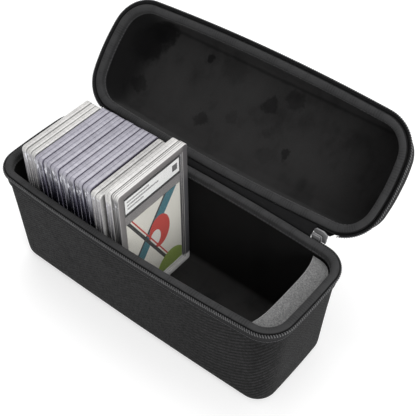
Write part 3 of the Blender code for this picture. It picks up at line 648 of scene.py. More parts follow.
# name, half, outer face, inner face, top, ripple, finish, body, slot and node of each tray
TRAYS = (
    ("tub_shell", TUB, (SHELL_INSET, 0, TUB_FILLET),
     (SHELL_INSET + WALL_THICKNESS, BOARD, LINING_FILLET + LINING_THICKNESS + GAP),
     WALL_TOP, soften(TUB, 0.7, (True,)), NYLON, "case", "weave", "base_shell"),
    ("tub_lining", TUB, (LINING_INSET, BOARD + GAP, LINING_FILLET + LINING_THICKNESS),
     (LINING_INNER_INSET, BOARD + GAP + LINING_THICKNESS, LINING_FILLET),
     WALL_TOP, None, TUB_VELVET, "case", "lining", "base_lining"),
    ("lid_shell", LID, (SHELL_INSET, 0, LID_FILLET),
     (SHELL_INSET + WALL_THICKNESS, BOARD, LID_FILLET - WALL_THICKNESS),
     LID_WALL_TOP, soften(LID, 2.1, (True,)), NYLON, "lid", "weave", "lid_shell"),
    ("lid_lining", LID, (LINING_INSET, LID_LINING_FLOOR, LID_LINING_FILLET),
     (LINING_INNER_INSET, LID_LINING_FLOOR + LINING_THICKNESS, LID_LINING_FILLET - LINING_THICKNESS),
     LID_WALL_TOP, soften(LID, 0.4, (False,)), LID_VELVET, "lid", "lining", "lid_lining"),
)
shells = [dress(name, tray_mesh(name, half, outer, inner, top, shape), finish, body, slot, node)
          for name, half, outer, inner, top, shape, finish, body, slot, node in TRAYS]
print("shell mesh:", len(shells[0].data.polygons), "faces")

# %% [markdown]
# ## Binding
# The binding is a ribbon folded over the rim and sewn through. Needle holes pull it in a little,
# so its inner edge puckers at every stitch. The stitches are short capsules of thread.

# %% Binding tape on both rims
STITCH_PITCH = 3.2 * MM
PUCKER = 0.14 * MM
INNER_LEG = 7.0 * MM
OUTER_LEG = 3.4 * MM
ARCH = 1.8 * MM
ARCH_STEPS = 14
LEG_STEPS = 5


def binding_profile(top):
    middle = RIM_WIDTH / 2
    turn = np.linspace(0, math.pi, ARCH_STEPS)
    arch = np.column_stack([middle - middle * np.cos(turn), top + ARCH * (np.sin(turn) - 1)])
    outer = [(0, top - OUTER_LEG)]
    inner = [(RIM_WIDTH, top - drop) for drop in np.linspace(ARCH, INNER_LEG, LEG_STEPS)[1:]]
    under = RIM_WIDTH - BINDING_THICKNESS
    back = [(under, top - INNER_LEG), (under, top - ARCH), (BINDING_THICKNESS, top - ARCH),
            (BINDING_THICKNESS, top - OUTER_LEG)]
    return np.array(outer + arch.tolist() + inner + back)


def binding_mesh(name, half):
    profile = binding_profile(half.depth)
    grid = np.array([half.ring(height, inset) for inset, height in profile])
    pucker = np.cos(2 * math.pi * half.run[:-1] / STITCH_PITCH)
    edge = 1 + ARCH_STEPS + LEG_STEPS - 2
    for row, share in ((edge, 1.0), (edge - 1, 0.6), (0, 0.8), (1, 0.5)):
        grid[row, :, 2] += pucker * PUCKER * 2 * share
    chart = rim_chart(half.run, profile)
    return tidy_mesh(grid_mesh(name, half.place(grid), chart, **LOOP), 60)


for name, half, body, node in (("tub_binding", TUB, "case", "base_binding"),
                               ("lid_binding", LID, "lid", "lid_binding")):
    dress(name, binding_mesh(name, half), GROSGRAIN, body, "binding", node)


# %% [markdown]
# A row of stitches is one small capsule, copied along the rim at an even pitch. Walking along the
# ring by distance, not by point, keeps the pitch the same on the sides and in the corners.


# %% Rows of stitches
def unit_rows(ways):
    return ways / np.linalg.norm(ways, axis=1)[:, None]


def at_marks(marks, length, points):
    # points on a line at the marks, given how far along it each of its own points lies
    return np.column_stack([np.interp(marks, length, column) for column in points.T])


def walk(half, height, inset, pitch, skip_back=0.0):
    # even places along a ring: position, the way along, and the way out
    ring = closed(half.ring(height, inset))
    outward = closed(np.column_stack([half.rim_out, np.zeros(len(half.rim_out))]))
    length = distances(ring)
    count = int(round(length[-1] / pitch))
    marks = (np.arange(count) + 0.5) * length[-1] / count
    spots, out = at_marks(marks, length, ring), at_marks(marks, length, outward)
    along = at_marks((marks + pitch / 4) % length[-1], length, ring) - spots
    keep = ~((spots[:, 1] > 0) & (np.abs(spots[:, 0]) < skip_back))
    return spots[keep], unit_rows(along)[keep], unit_rows(out[keep])


CAPSULE_SIDES = 6
CAPSULE_RINGS = ((-1.0, 0.35), (-0.8, 0.9), (0.0, 1.0), (0.8, 0.9), (1.0, 0.35))


def capsule_row(name, spots, along, out, length, radius):
    # one capsule at each spot, lying along the way along
    turn = np.arange(CAPSULE_SIDES) * 2 * math.pi / CAPSULE_SIDES
    third = np.cross(along, out)
    points, faces = [], []
    ring_faces = grid_faces(len(CAPSULE_RINGS), CAPSULE_SIDES, False, True)
    size = len(CAPSULE_RINGS) * CAPSULE_SIDES
    for number in range(len(spots)):
        for share, width in CAPSULE_RINGS:
            circle = (np.outer(np.cos(turn), out[number]) + np.outer(np.sin(turn), third[number]))
            points.append(spots[number] + along[number] * share * length / 2 + circle * width * radius)
        base = number * size
        faces.extend((ring_faces + base).tolist())
        faces.append([base + k for k in range(CAPSULE_SIDES)][::-1])
        faces.append([base + size - CAPSULE_SIDES + k for k in range(CAPSULE_SIDES)])
    mesh = bpy.data.meshes.new(name)
    mesh.from_pydata(np.concatenate(points).tolist(), [], faces)
    return tidy_mesh(mesh, 80)


STITCH_LENGTH = 2.3 * MM
STITCH_RADIUS = 0.24 * MM
SEAM_ABOVE_EDGE = 1.5 * MM


def seam(name, half, height, inset, body, slot, pitch=STITCH_PITCH, skip_back=0.0):
    spots, along, out = walk(half, height, inset, pitch, skip_back)
    mesh = capsule_row(name, half.place(spots), turn_ways(half, along), turn_ways(half, out),
                       STITCH_LENGTH, STITCH_RADIUS)
    return dress(name, mesh, THREAD, body, slot)


def turn_ways(half, ways):
    # directions follow the half as its points do, without the shift
    return half.place(ways) - half.place(np.zeros((1, 3)))


for name, half, body in (("tub_binding_seam", TUB, "case"), ("lid_binding_seam", LID, "lid")):
    seam(name, half, half.depth - INNER_LEG + SEAM_ABOVE_EDGE, RIM_WIDTH, body, "binding")
print("stitches on the tub's binding:", len(walk(TUB, 0, 0, STITCH_PITCH)[0]))

# %% [markdown]
# ## Zip
# A coil zip is one nylon wire wound into a flat spiral and sewn to the edge of a tape. The tub's
# coil stands upright beside the binding. The lid's tape flares out and carries its coil at the
# edge. The tub's coil ends beside the sliders, the lid's further out, in its back corners. Each
# coil is a real spiral: a tube that follows an oval.

# %% Coils
COIL_PITCH = 2.0 * MM
WIRE_RADIUS = 0.40 * MM
WIRE_SIDES = 6
TURN_POINTS = 10
CHAIN_THICKNESS = 1.4 * MM
CHAIN_HEIGHT = 3.5 * MM
CHAIN_DROP = 0.8 * MM
TUB_ZIP_END = 105.5 * MM
LID_ZIP_END = 122.5 * MM
TAPE_FLARE = 2.2 * MM


def open_run(half, height, inset, stop):
    # the open line round the front that starts and stops at x = stop on the back
    spots, along, out = walk(half, height, inset, COIL_PITCH / TURN_POINTS, stop)
    start = next(k for k in range(len(spots)) if spots[k][0] > 0 and spots[k][1] > 0)
    order = np.roll(np.arange(len(spots)), -start)
    return spots[order], along[order], out[order]


def tube_grid(line, away, side, radius, sides):
    # a ring of points round each point of a line; away and side are square to the line
    around = np.arange(sides) * 2 * math.pi / sides
    return line[:, None] + radius * (away[:, None] * np.cos(around)[None, :, None]
                                     + side[:, None] * np.sin(around)[None, :, None])


def coil_mesh(name, half, outer, top, stop):
    middle = (outer + CHAIN_THICKNESS / 2, top - CHAIN_HEIGHT / 2)
    spots, _, out = open_run(half, middle[1], middle[0], stop)
    turn = np.arange(len(spots)) * 2 * math.pi / TURN_POINTS
    up = np.tile((0, 0, 1), (len(spots), 1))
    wide, tall = CHAIN_THICKNESS / 2 - WIRE_RADIUS, CHAIN_HEIGHT / 2 - WIRE_RADIUS
    line = spots + out * (np.cos(turn) * wide)[:, None] + up * (np.sin(turn) * tall)[:, None]
    away = out * np.cos(turn)[:, None] + up * np.sin(turn)[:, None]
    ahead = unit_rows(np.gradient(line, axis=0))
    side = unit_rows(np.cross(ahead, away))
    grid = tube_grid(line, np.cross(side, ahead), side, WIRE_RADIUS, WIRE_SIDES)
    print(name, "has", len(line) // TURN_POINTS, "turns")
    return tidy_mesh(grid_mesh(name, half.place(grid), blank_chart(grid)), 80)


CORD_MARGIN = 0.35 * MM
CORD_HALF = 0.14 * MM


def coil_cord(name, half, outer, top, stop, reach=0.0):
    # the sewing cord inside the coil, with a selvedge that reaches back to the tape
    near, far = (outer + CHAIN_THICKNESS / 2 + way * CORD_HALF for way in (-1, 1))
    low, high = top - CHAIN_HEIGHT + CORD_MARGIN, top - CORD_MARGIN
    back, middle = far + reach, (low + high) / 2
    profile = [(near, low), (near, high), (far, high), (back, middle + CORD_HALF), (back, middle - CORD_HALF),
               (far, low)]
    return ribbon_mesh(name, half, profile, stop)


CORD_REACH = 0.9 * MM
TUB_COIL = (TUB, -GAP - CHAIN_THICKNESS, TUB_HEIGHT - CHAIN_DROP, TUB_ZIP_END)
LID_COIL = (LID, -TAPE_FLARE - GAP - CHAIN_THICKNESS, LID_DEPTH, LID_ZIP_END)
dress("tub_zip_coil", coil_mesh("tub_zip_coil", *TUB_COIL), COIL, "case", "chain", "base_zip_chain")
dress("lid_zip_coil", coil_mesh("lid_zip_coil", *LID_COIL), COIL, "lid", "chain", "lid_zip_chain")


# %% [markdown]
# The tapes behind the coils are ribbons with a thickness. On the tub the tape lies flat on the
# wall below the binding, and rises behind the coil. On the lid it bends outwards to the coil.


# %% Zip tapes
TAPE_INSET = SHELL_INSET - GAP
FOLDED = 0.62


def ribbon_mesh(name, half, profile, stop, taper=0.0):
    # a band with a closed section, round the front to x = stop on the back; over the length of
    # the taper its flare is folded down to the wall
    behind, from_middle = half.rim[:, 1] > 0, np.abs(half.rim[:, 0])
    kept = np.nonzero(~(behind & (from_middle < stop)))[0]
    share = np.clip((from_middle - stop) / max(taper, MM), 0, 1)
    flare = np.where(behind & (taper > 0), FOLDED + (1 - FOLDED) * share, 1.0)
    rings = []
    for inset, height in profile:
        insets = TAPE_INSET + (inset - TAPE_INSET) * flare
        per_mm = half.ring(height, MM) - half.ring(height, 0)
        rings.append(half.ring(height, 0) + per_mm * (insets / MM)[:, None])
    run = np.arange(len(kept)) * (half.run[1] - half.run[0])
    chart = rim_chart(np.append(run, run[-1]), np.array(profile))
    grid = half.place(np.array(rings)[:, kept])
    return tidy_mesh(grid_mesh(name, grid, chart, **BAND), 50)


TAPE_THICKNESS = 0.8 * MM
LID_TAPE_END = 105.0 * MM
LID_TAPE_TAPER = 17.0 * MM
TUB_TAPE_TOP = TUB_HEIGHT - CHAIN_DROP - CHAIN_HEIGHT - GAP / 2
TUB_TAPE_BOTTOM = TUB_TAPE_TOP - 9.0 * MM
TAPE_HEM = 0.5 * MM
COIL_BACK = -GAP / 2
TAPE_FACE = TAPE_INSET - TAPE_THICKNESS
TAPE_STITCH_PITCH = 2.6 * MM

tub_tape_profile = [
    (TAPE_INSET, TUB_TAPE_BOTTOM), (TAPE_FACE, TUB_TAPE_BOTTOM + GAP),
    (TAPE_FACE - GAP, TUB_TAPE_BOTTOM + TAPE_HEM), (TAPE_FACE - GAP, TUB_TAPE_BOTTOM + 2 * TAPE_HEM),
    (TAPE_FACE, TUB_TAPE_BOTTOM + 3 * TAPE_HEM),
    (COIL_BACK - TAPE_THICKNESS / 2, TUB_TAPE_TOP - 1.5 * MM),
    (COIL_BACK - TAPE_THICKNESS, TUB_TAPE_TOP), (COIL_BACK - TAPE_THICKNESS / 2, TUB_TAPE_TOP + GAP),
    (COIL_BACK, TUB_TAPE_TOP), (TAPE_INSET, TUB_TAPE_TOP - 2.0 * MM),
]
dress("tub_coil_cord", coil_cord("tub_coil_cord", *TUB_COIL), TAPE, "case", "chain")
dress("lid_coil_cord", coil_cord("lid_coil_cord", *LID_COIL, CORD_REACH), TAPE, "lid", "chain")
dress("tub_zip_tape", ribbon_mesh("tub_zip_tape", TUB, tub_tape_profile, TUB_ZIP_END), TAPE,
      "case", "tape", "base_zip_tape")
seam("tub_tape_seam", TUB, TUB_TAPE_BOTTOM + 4 * TAPE_HEM, TAPE_FACE, "case", "tape", TAPE_STITCH_PITCH,
     TUB_ZIP_END)

LID_TAPE_FOOT = LID_DEPTH - 6.4 * MM
LID_TAPE_EDGE = LID_DEPTH - CHAIN_DROP
lid_tape_profile = [
    (TAPE_INSET, LID_TAPE_FOOT), (TAPE_FACE, LID_TAPE_FOOT),
    (-1.4 * MM, LID_TAPE_EDGE - 2.6 * MM), (-TAPE_FLARE, LID_TAPE_EDGE - TAPE_THICKNESS),
    (-TAPE_FLARE, LID_TAPE_EDGE), (-1.6 * MM, LID_TAPE_EDGE - 1.2 * MM),
    (-GAP - TAPE_THICKNESS, LID_DEPTH - OUTER_LEG),
    (TAPE_INSET, LID_DEPTH - OUTER_LEG - GAP - TAPE_THICKNESS),
]
dress("lid_zip_tape", ribbon_mesh("lid_zip_tape", LID, lid_tape_profile, LID_TAPE_END, LID_TAPE_TAPER),
      TAPE, "lid", "tape", "lid_zip_tape")

# %% [markdown]
# ## Hinge
# The hinge is one woven strip, glued to the back of the tub and to the back of the lid. It is
# built as a single band whose section goes up the tub's wall, over the fold and down the lid's
# wall. It is shaped once, with the lid open, and rides on neither half.

# %% Hinge strip
STRIP_END = 104.9 * MM
STRIP_POINTS = 120
STRIP_THICKNESS = 0.8 * MM
LEAF = 14.0 * MM
LEAF_RISE = 4.0 * MM
LEAF_BEND = 5.0 * MM
LEAF_STANDOFF = 0.3 * MM


def back_line(half, height, inset, x):
    # how far back the wall of a half stands at each x
    ring = half.ring(height, inset)
    back = ring[ring[:, 1] > 0]
    back = back[np.argsort(back[:, 0])]
    return np.interp(x, back[:, 0], back[:, 1])


def along_back(half, height, inset):
    x = np.linspace(-STRIP_END, STRIP_END, STRIP_POINTS)
    return half.place(np.column_stack([x, back_line(half, height, inset, x), np.full(len(x), height)]))


def strip_line(extra):
    # the strip's ribs from the tub's wall to the lid's wall; extra is how far out it stands
    wall, out = SHELL_INSET - GAP - extra, -LEAF_STANDOFF - extra
    drops = ((LEAF, wall), (LEAF_RISE + LEAF_BEND, wall), (LEAF_RISE, out), (0, out))
    near = [along_back(TUB, TUB_HEIGHT - GAP - drop, inset) for drop, inset in drops]
    return near + [along_back(LID, LID_DEPTH - GAP - drop, inset) for drop, inset in reversed(drops)]


def smooth_ribs(ribs, steps):
    # a soft curve through the ribs, by distance along the middle of the strip
    ribs = np.array(ribs)
    length = distances(ribs[:, ribs.shape[1] // 2])
    line = at_marks(np.linspace(0, length[-1], steps), length, ribs.reshape(len(ribs), -1))
    for _ in range(3):
        line[1:-1] = (line[:-2] + 2 * line[1:-1] + line[2:]) / 4
    return line.reshape(steps, -1, 3)


STRIP_STEPS = 44
under = smooth_ribs(strip_line(0), STRIP_STEPS)
over = smooth_ribs(strip_line(STRIP_THICKNESS), STRIP_STEPS)
strip_grid = np.concatenate([under, over[::-1]])
strip_chart = chart_of(np.linspace(0, 2 * STRIP_END, STRIP_POINTS + 1),
                       np.linspace(0, 4 * LEAF, len(strip_grid) + 1))
strip_mesh = grid_mesh("hinge_strip", strip_grid, strip_chart, **BAND)
hinge_strip = dress("hinge_strip", tidy_mesh(strip_mesh, 60), SHADED_HINGE_TAPE, None, "tape",
                    "hinge_strip_base_side", "hinge_strip_lid_side")
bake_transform(hinge_strip)

# %% [markdown]
# Past the end of the zip, the end of the lid's tape is folded back on itself and tacked to the
# wall, so it stands out as a small tab. Shut, it sits above the slider; open, it hangs behind it.

# %% Tabs at the ends of the lid's tape
TAB_FROM, TAB_TO = 91.0 * MM, 121.0 * MM
TAB_POINTS = 30
TAB_LIFT, TAB_CLEAR, TAB_STEP = 1.0 * MM, 1.3 * MM, 0.5 * MM
TAB_PROFILE = ((1.2, 12.5), (-1.4, 9.7), (-5.0, 7.6), (-5.3, 7.0), (-4.9, 6.9), (-1.0, 8.8), (1.2, 11.0))


def tab_mesh(name, way):
    x = way * np.linspace(TAB_FROM, TAB_TO, TAB_POINTS)
    share = np.clip(1.7 * np.sin(np.linspace(0.12, math.pi - 0.12, TAB_POINTS)), 0, 1)
    # where the tab lies over the end of the hinge strip it stands further off the wall
    on_strip = np.clip((STRIP_END + TAB_CLEAR - np.abs(x)) / TAB_STEP, 0, 1) * TAB_LIFT
    ribs = []
    for inset, below_rim in TAB_PROFILE:
        height = LID_DEPTH - below_rim * MM
        wall, flared = (back_line(LID, height, depth * MM, x) for depth in (TAB_PROFILE[0][0], inset))
        y = wall + (flared - wall) * share + on_strip
        ribs.append(LID.place(np.column_stack([x, y, np.full(len(x), height)])))
    chart = chart_of(np.append(x, x[-1]), np.arange(len(ribs) + 1) * MM)
    return tidy_mesh(grid_mesh(name, np.array(ribs), chart, **BAND), 50)


for side, way in (("right", 1), ("left", -1)):
    dress("zip_end_tab_" + side, tab_mesh("zip_end_tab_" + side, way), SHADED_HINGE_TAPE, "lid", "tape")

# %% [markdown]
# ## Foam pad
# The pad is cut from charcoal and white flecked foam. It is not sewn or stuffed, so it isn't
# inflated: its plan is cut round to fit the end of the tub, its face is hollowed, and the saw
# leaves edges that are only slightly round. The flecks are cells of a fine Voronoi pattern.

# %% Foam pad
PAD_LOW, PAD_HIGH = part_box("foam_pad")
PAD_HOLLOW = 4.7 * MM
PAD_CROWN = 4.2 * MM
PAD_ROUND, PAD_FROM_BINDING = 2.0 * MM, 0.4 * MM
PAD_END_STEPS, PAD_FACE_STEPS = 110, 60
PAD_TIP_POWER = 4
FOAM_CELL = 0.7 * MM


def flecked_foam():
    finish = Finish("flecked_foam", (0.24, 0.24, 0.24), 0.95, specular=0.1, sheen=0.04)
    sockets = {"Vector": finish.space, "Scale": 1 / FOAM_CELL}
    fleck = finish.add("ShaderNodeTexVoronoi", sockets, "Color").split()[0]
    tone = fleck.scaled(0.6, finish.noise(0.6 * MM, 3, 0.7) * 0.4)
    grey = finish.ramp(tone, (0.15, 0.11), (0.45, 0.175), (0.62, 0.21), (0.9, 0.30))
    grey = finish.mix(finish.noise(10 * MM, 2) * 0.3, grey, (0.15, 0.15, 0.15))
    upward = finish.facing("Normal")[2]
    # painted highlight: the rounded top edge, neither flat nor upright, is painted pale where it catches the
    # light
    edge_highlight = upward.step(0.97, 0.75) * upward.step(0.1, 0.35, 0.6)
    finish.set("Base Color", finish.mix(edge_highlight, grey, (0.50, 0.50, 0.50)))
    finish.bump(tone, 0.3 * MM, 0.8)
    return finish.material


def even_run(points, steps):
    length = distances(points)
    return at_marks(np.linspace(0, length[-1], steps + 1), length, points)


def pad_plan(height, inset, shrink):
    flat = TUB.flat(height, inset + shrink)
    tip_x = PAD_LOW.x + shrink
    back = flat[(flat[:, 1] > 0) & (flat[:, 0] > 0)]
    tip_y = np.interp(tip_x, back[:, 0], back[:, 1])
    end = flat[flat[:, 0] > tip_x]
    line = even_run(np.vstack([[(tip_x, tip_y)], end, [(tip_x, -tip_y)]]), PAD_END_STEPS)
    share = np.linspace(-1, 1, PAD_FACE_STEPS + 1)[1:-1]
    hollow = PAD_HOLLOW * (1 - np.abs(share) ** PAD_TIP_POWER)
    plan = np.vstack([line, np.column_stack([tip_x + hollow, share * tip_y])])
    return np.column_stack([plan, np.full(len(plan), height)])


def pad_levels():
    # height, inset and shrink of each level: the foot in the lining's fillet, the side, the round
    foot, top = PAD_LOW.z, PAD_HIGH.z + PAD_CROWN
    seat, rim = LINING_INNER_INSET + GAP, RIM_WIDTH + PAD_FROM_BINDING
    side_from, side_to = foot + LINING_FILLET, top - PAD_ROUND
    levels = [(foot + LINING_FILLET * share, seat + LINING_FILLET * (1 - share), 0) for share in (0, 0.4, 1)]
    levels += [(side_from + (side_to - foot - LINING_FILLET) * share, seat + (rim - seat) * share, 0)
               for share in np.linspace(0.1, 1, 12)]
    levels += [(top - PAD_ROUND * (1 - math.sin(turn)), rim, PAD_ROUND * (1 - math.cos(turn)))
               for turn in np.linspace(0.2, 1, 5) * math.pi / 2]
    return levels + [(top, rim, 2 * PAD_ROUND)]


pad_grid = np.array([pad_plan(*level) for level in pad_levels()])
pad = dress("foam_end_pad", tidy_mesh(grid_mesh("foam_end_pad", pad_grid, blank_chart(pad_grid)), 50),
            flecked_foam(), "end_pad", "foam", "foam_pad")

# %% [markdown]
# ## Card holders
# A graded card sits between two clear acrylic halves, welded round the edge. From above each
# holder shows only its edge: two milky bands, with the weld as a thin line between them and painted
# shade in the gap to each neighbour. Looking in at the end of a stack, the acrylic goes dark, painted
# darker further down as painted shade, with painted glints where edges catch light.

# %% Prints for the cards and labels
CREAM = (0.86, 0.84, 0.76)


def disc(u, v, x, y, radius):
    # 1 inside a round spot on the card, 0 outside, with a crisp edge
    across, along = u - x, v - y
    return across * across + along * along < radius * radius


def band(u, v, slope, low, high):
    # 1 between two slanted lines
    return u.scaled(-slope, v).between(low, high)


def printed_card(name, ground, sun, hill, water, dark):
    # a made-up landscape of flat shapes: a disc, two hills, slanting bands and a bright bar
    finish = Finish(name, ground, 0.4, specular=0.2, coat=0.1)
    u, v, _ = finish.chart.split()
    grain = finish.noise(0.3, 2, place=finish.chart)
    colour = finish.mix(grain, ground, tuple(0.86 * c for c in ground))
    shapes = (
        (band, (0.9, 0.16, 0.34), water), (band, (0.9, 0.34, 0.38), dark),
        (disc, (0.58, 0.60, 0.20), sun), (disc, (0.50, 0.55, 0.10), (0.78, 0.76, 0.72)),
        (band, (-1.3, 1.02, 1.09), dark), (band, (-1.3, 1.12, 1.15), sun),
        (disc, (0.78, -0.12, 0.34), hill), (disc, (0.25, -0.20, 0.38), dark),
        (disc, (0.24, -0.22, 0.36), hill),
    )
    for shape, place, paint in shapes:
        colour = finish.mix(shape(u, v, *place), colour, paint)
    finish.set("Base Color", colour)
    return finish.material


def printed_label():
    # a white slip with a black border and grey bars where a real one has its words
    finish = Finish("label_print", (0.93, 0.93, 0.92), 0.45, specular=0.2)
    u, v, _ = finish.chart.split()
    inside = band(u, v, 0, 0.14, 0.86) * u.between(0.036, 0.964)
    colour = finish.mix(inside, (0.010, 0.010, 0.010), (0.93, 0.93, 0.92))
    grain = finish.noise(0.016, 1, place=finish.chart, stretch=(1, 4, 1))
    for low, stop in ((0.66, 0.44), (0.48, 0.60), (0.30, 0.34)):
        row = band(u, v, 0, low, low + 0.09) * u.between(0.07, stop)
        colour = finish.mix(row * (grain > 0.44), colour, (0.20, 0.20, 0.20))
    block = band(u, v, 0, 0.35, 0.68) * u.between(0.84, 0.93)
    finish.set("Base Color", finish.mix(block, colour, (0.10, 0.10, 0.10)))
    return finish.material


RED, GREEN, TEAL = (0.55, 0.035, 0.02), (0.24, 0.34, 0.04), (0.03, 0.16, 0.20)
BLACK = (0.02, 0.018, 0.018)
FRONT_PRINT = printed_card("card_print", CREAM, RED, GREEN, TEAL, BLACK)
BACK_PRINTS = [
    printed_card("card_print_blue", (0.62, 0.64, 0.66), (0.60, 0.42, 0.05), TEAL, (0.04, 0.08, 0.30), BLACK),
    printed_card("card_print_red", (0.66, 0.62, 0.56), TEAL, RED, (0.30, 0.05, 0.04), BLACK),
    printed_card("card_print_green", CREAM, (0.52, 0.30, 0.04), (0.06, 0.20, 0.09), GREEN, BLACK),
]
LABEL_PRINT = printed_label()


# %% [markdown]
# The holder's finish reads its chart: one axis goes round the edge, the other across the
# thickness. A ramp across the thickness paints the bands, and a second one takes over on the
# upright ends, where the stack is dark. Fine streaks of painted glint run down the ends where they
# catch light.


# %% Acrylic
GLINT, FLASH = (0.80, 0.80, 0.88), (0.85, 0.85, 0.92)
EDGE_ROUND = 0.8 * MM
SHADE_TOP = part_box("card_holder_04")[1].z - EDGE_ROUND


def edge_paint(finish, bands, end_bands, dark, sink, shade_reach, glint_amount, tall=SHADE_TOP):
    # sink is how far down the bright corner of painted light goes, and the argument after it how far down
    # painted shade turns the end dark; then comes the strength of the painted glints
    across, height, side = finish.chart.split()[1], finish.space.split()[2], finish.facing()[1]
    top, end = finish.ramp(across, *bands), finish.ramp(across, *end_bands)
    glint = finish.ramp(finish.noise(16 * MM, 4, 0.7, stretch=(3.2, 1, 0.30)), (0.54, 0.0), (0.60, 1.0))
    flash = finish.ramp(finish.noise(5 * MM, 3, 0.6, stretch=(1.6, 1, 0.6)), (0.54, 0.0), (0.60, 1.0))
    sunk = tall - height
    near_top = sunk.step(1.5 * MM, 4 * MM) * sunk.step(16 * MM, 9 * MM)
    # painted glints: bright streaks and flecks on the ends, most near the top
    end = finish.mix(flash * near_top, finish.mix(glint * glint_amount, end, GLINT), FLASH)
    # painted light: the top's colour runs down over the corner; below it painted shade darkens the ends
    # further down into the tub
    end = finish.mix(sunk.step(0, sink), top, finish.mix(sunk.step(sink, shade_reach), end, dark))
    cloud = finish.noise(34 * MM, 4, 0.6, stretch=(1, 0.5, 1))
    scuff = finish.noise(5 * MM, 3, 0.7, stretch=(0.4, 2.2, 1))
    patch = finish.ramp(scuff.scaled(0.55, cloud * 0.5), (0.40, 0.0), (0.66, 1.0))
    dull = finish.mix(patch, tuple(0.62 * c for c in bands[0][1]), top)
    return finish.mix(abs(side).step(0.62, 0.80), finish.mix(0.62, dull, top), end)


def acrylic(name, bands, *rest):
    finish = Finish(name, bands[1][1], 0.22, specular=0.4, coat=0.35)
    finish.set("Base Color", edge_paint(finish, bands, *rest))
    scratch = finish.noise(2.5 * MM, 3, 0.6)
    finish.set("Roughness", scratch.scaled(0.3, 0.12))
    finish.bump(scratch, 0.05 * MM, 0.4)
    return finish.material


# the darkest colour, at both edges of a holder's top, is painted shade in the gap between neighbours
LILAC, MAUVE, PLUM_GAP_SHADE = (0.435, 0.425, 0.480), (0.32, 0.31, 0.365), (0.085, 0.078, 0.115)
HAZE, JOINT = (0.37, 0.36, 0.42), (0.30, 0.29, 0.35)
NIGHT, NAVY, SMOKE = (0.006, 0.006, 0.012), (0.016, 0.015, 0.040), (0.085, 0.083, 0.115)
SEALED = acrylic(
    "acrylic_lilac",
    ((0.0, PLUM_GAP_SHADE), (0.07, MAUVE), (0.15, LILAC), (0.40, HAZE), (0.49, JOINT), (0.55, LILAC),
     (0.84, HAZE), (0.92, MAUVE), (1.0, PLUM_GAP_SHADE)),
    ((0.0, NAVY), (0.10, (0.34, 0.34, 0.42)), (0.18, NAVY), (0.38, SMOKE), (0.47, NIGHT), (0.60, NAVY),
     (0.70, (0.17, 0.17, 0.23)), (0.80, NIGHT), (1.0, NAVY)),
    (0.010, 0.010, 0.016), 6.0 * MM, 34.0 * MM, 0.55)
# the grey at the weld is the holders' dark joint; the same grey at both edges of the top is painted shade in
# the gap between neighbours
PEARL, IVORY, WELD_AND_GAP_SHADE = (0.76, 0.75, 0.73), (0.60, 0.59, 0.575), (0.38, 0.375, 0.37)
CREAMY = acrylic(
    "acrylic_cream",
    ((0.0, WELD_AND_GAP_SHADE), (0.10, PEARL), (0.30, IVORY), (0.40, PEARL), (0.48, WELD_AND_GAP_SHADE), (0.55, PEARL),
     (0.78, IVORY), (0.90, PEARL), (1.0, WELD_AND_GAP_SHADE)),
    ((0.0, (0.52, 0.51, 0.52)), (0.22, (0.26, 0.25, 0.27)), (0.45, (0.46, 0.45, 0.47)),
     (0.52, (0.14, 0.135, 0.145)), (0.74, (0.40, 0.39, 0.41)), (1.0, (0.26, 0.25, 0.27))),
    (0.085, 0.082, 0.090), 5.0 * MM, 48.0 * MM, 0.30)
print("acrylic finishes ready")

# %% [markdown]
# A holder's mesh is one rounded outline repeated at many depths and insets: a recessed window, a
# flat frame, a small round edge, a groove at the weld, and the same again behind. The card and
# its label are thin plates in the window.

# %% Holder meshes
HOLDER_CORNER = 3.0 * MM
WELD = 0.35 * MM
FRAME_BORDER = 6.0 * MM
WINDOW_DEPTH = 0.6 * MM
PLATE, THICK_PLATE = 0.2 * MM, 0.4 * MM
CARD_SIZE = (63.5 * MM, 88.9 * MM)
LABEL_SIZE = (68.0 * MM, 20.0 * MM)
CARD_ABOVE_FOOT, LABEL_BELOW_TOP, LABEL_GAP = 9.0 * MM, 8.0 * MM, 2.0 * MM
ROUND_STEPS = 8
EDGE_STEPS = 5


def rounded(width, height, corner):
    points = []
    for quarter, (x, y) in enumerate(((1, 1), (-1, 1), (-1, -1), (1, -1))):
        turn = quarter * math.pi / 2 + np.linspace(0, math.pi / 2, ROUND_STEPS)
        points.append(np.column_stack([x * (width / 2 - corner) + corner * np.cos(turn),
                                       y * (height / 2 - corner) + corner * np.sin(turn)]))
    return np.concatenate(points)


def round_edge():
    # depth and inset of the small round between the face and the edge, from the face outwards
    turn = np.linspace(0, math.pi / 2, EDGE_STEPS)[::-1]
    return [(EDGE_ROUND * (1 - math.sin(t)), EDGE_ROUND * (1 - math.cos(t))) for t in turn]


def holder_profile(thickness):
    # depth from the front face and inset from the outline, front window to back window
    half = thickness / 2
    front = [(WINDOW_DEPTH, FRAME_BORDER + GAP), (0, FRAME_BORDER)] + round_edge()
    weld = [(half - WELD, 0), (half - WELD / 2, WELD), (half + WELD / 2, WELD), (half + WELD, 0)]
    return front + weld + [(thickness - depth, inset) for depth, inset in reversed(front)]


def face_middle(low, high):
    return ((low.y + high.y) / 2, (low.z + high.z) / 2)


def profile_grid(profile, low, high):
    # the rounded outline of a box, once for each depth and inset of the profile
    width, height = high.y - low.y, high.z - low.z
    rings = []
    for depth, inset in profile:
        ring = rounded(width - 2 * inset, height - 2 * inset, max(HOLDER_CORNER - inset, GAP))
        rings.append(np.column_stack([np.full(len(ring), high.x - depth), ring + face_middle(low, high)]))
    return np.array(rings)


def holder_mesh(name, low, high):
    thickness = high.x - low.x
    profile = holder_profile(thickness)
    around = distances(closed(rounded(high.y - low.y, high.z - low.z, HOLDER_CORNER)))
    across = np.append(np.array(profile)[:, 0] / thickness, 1)
    return tidy_mesh(grid_mesh(name, profile_grid(profile, low, high), chart_of(around, across)), 35)


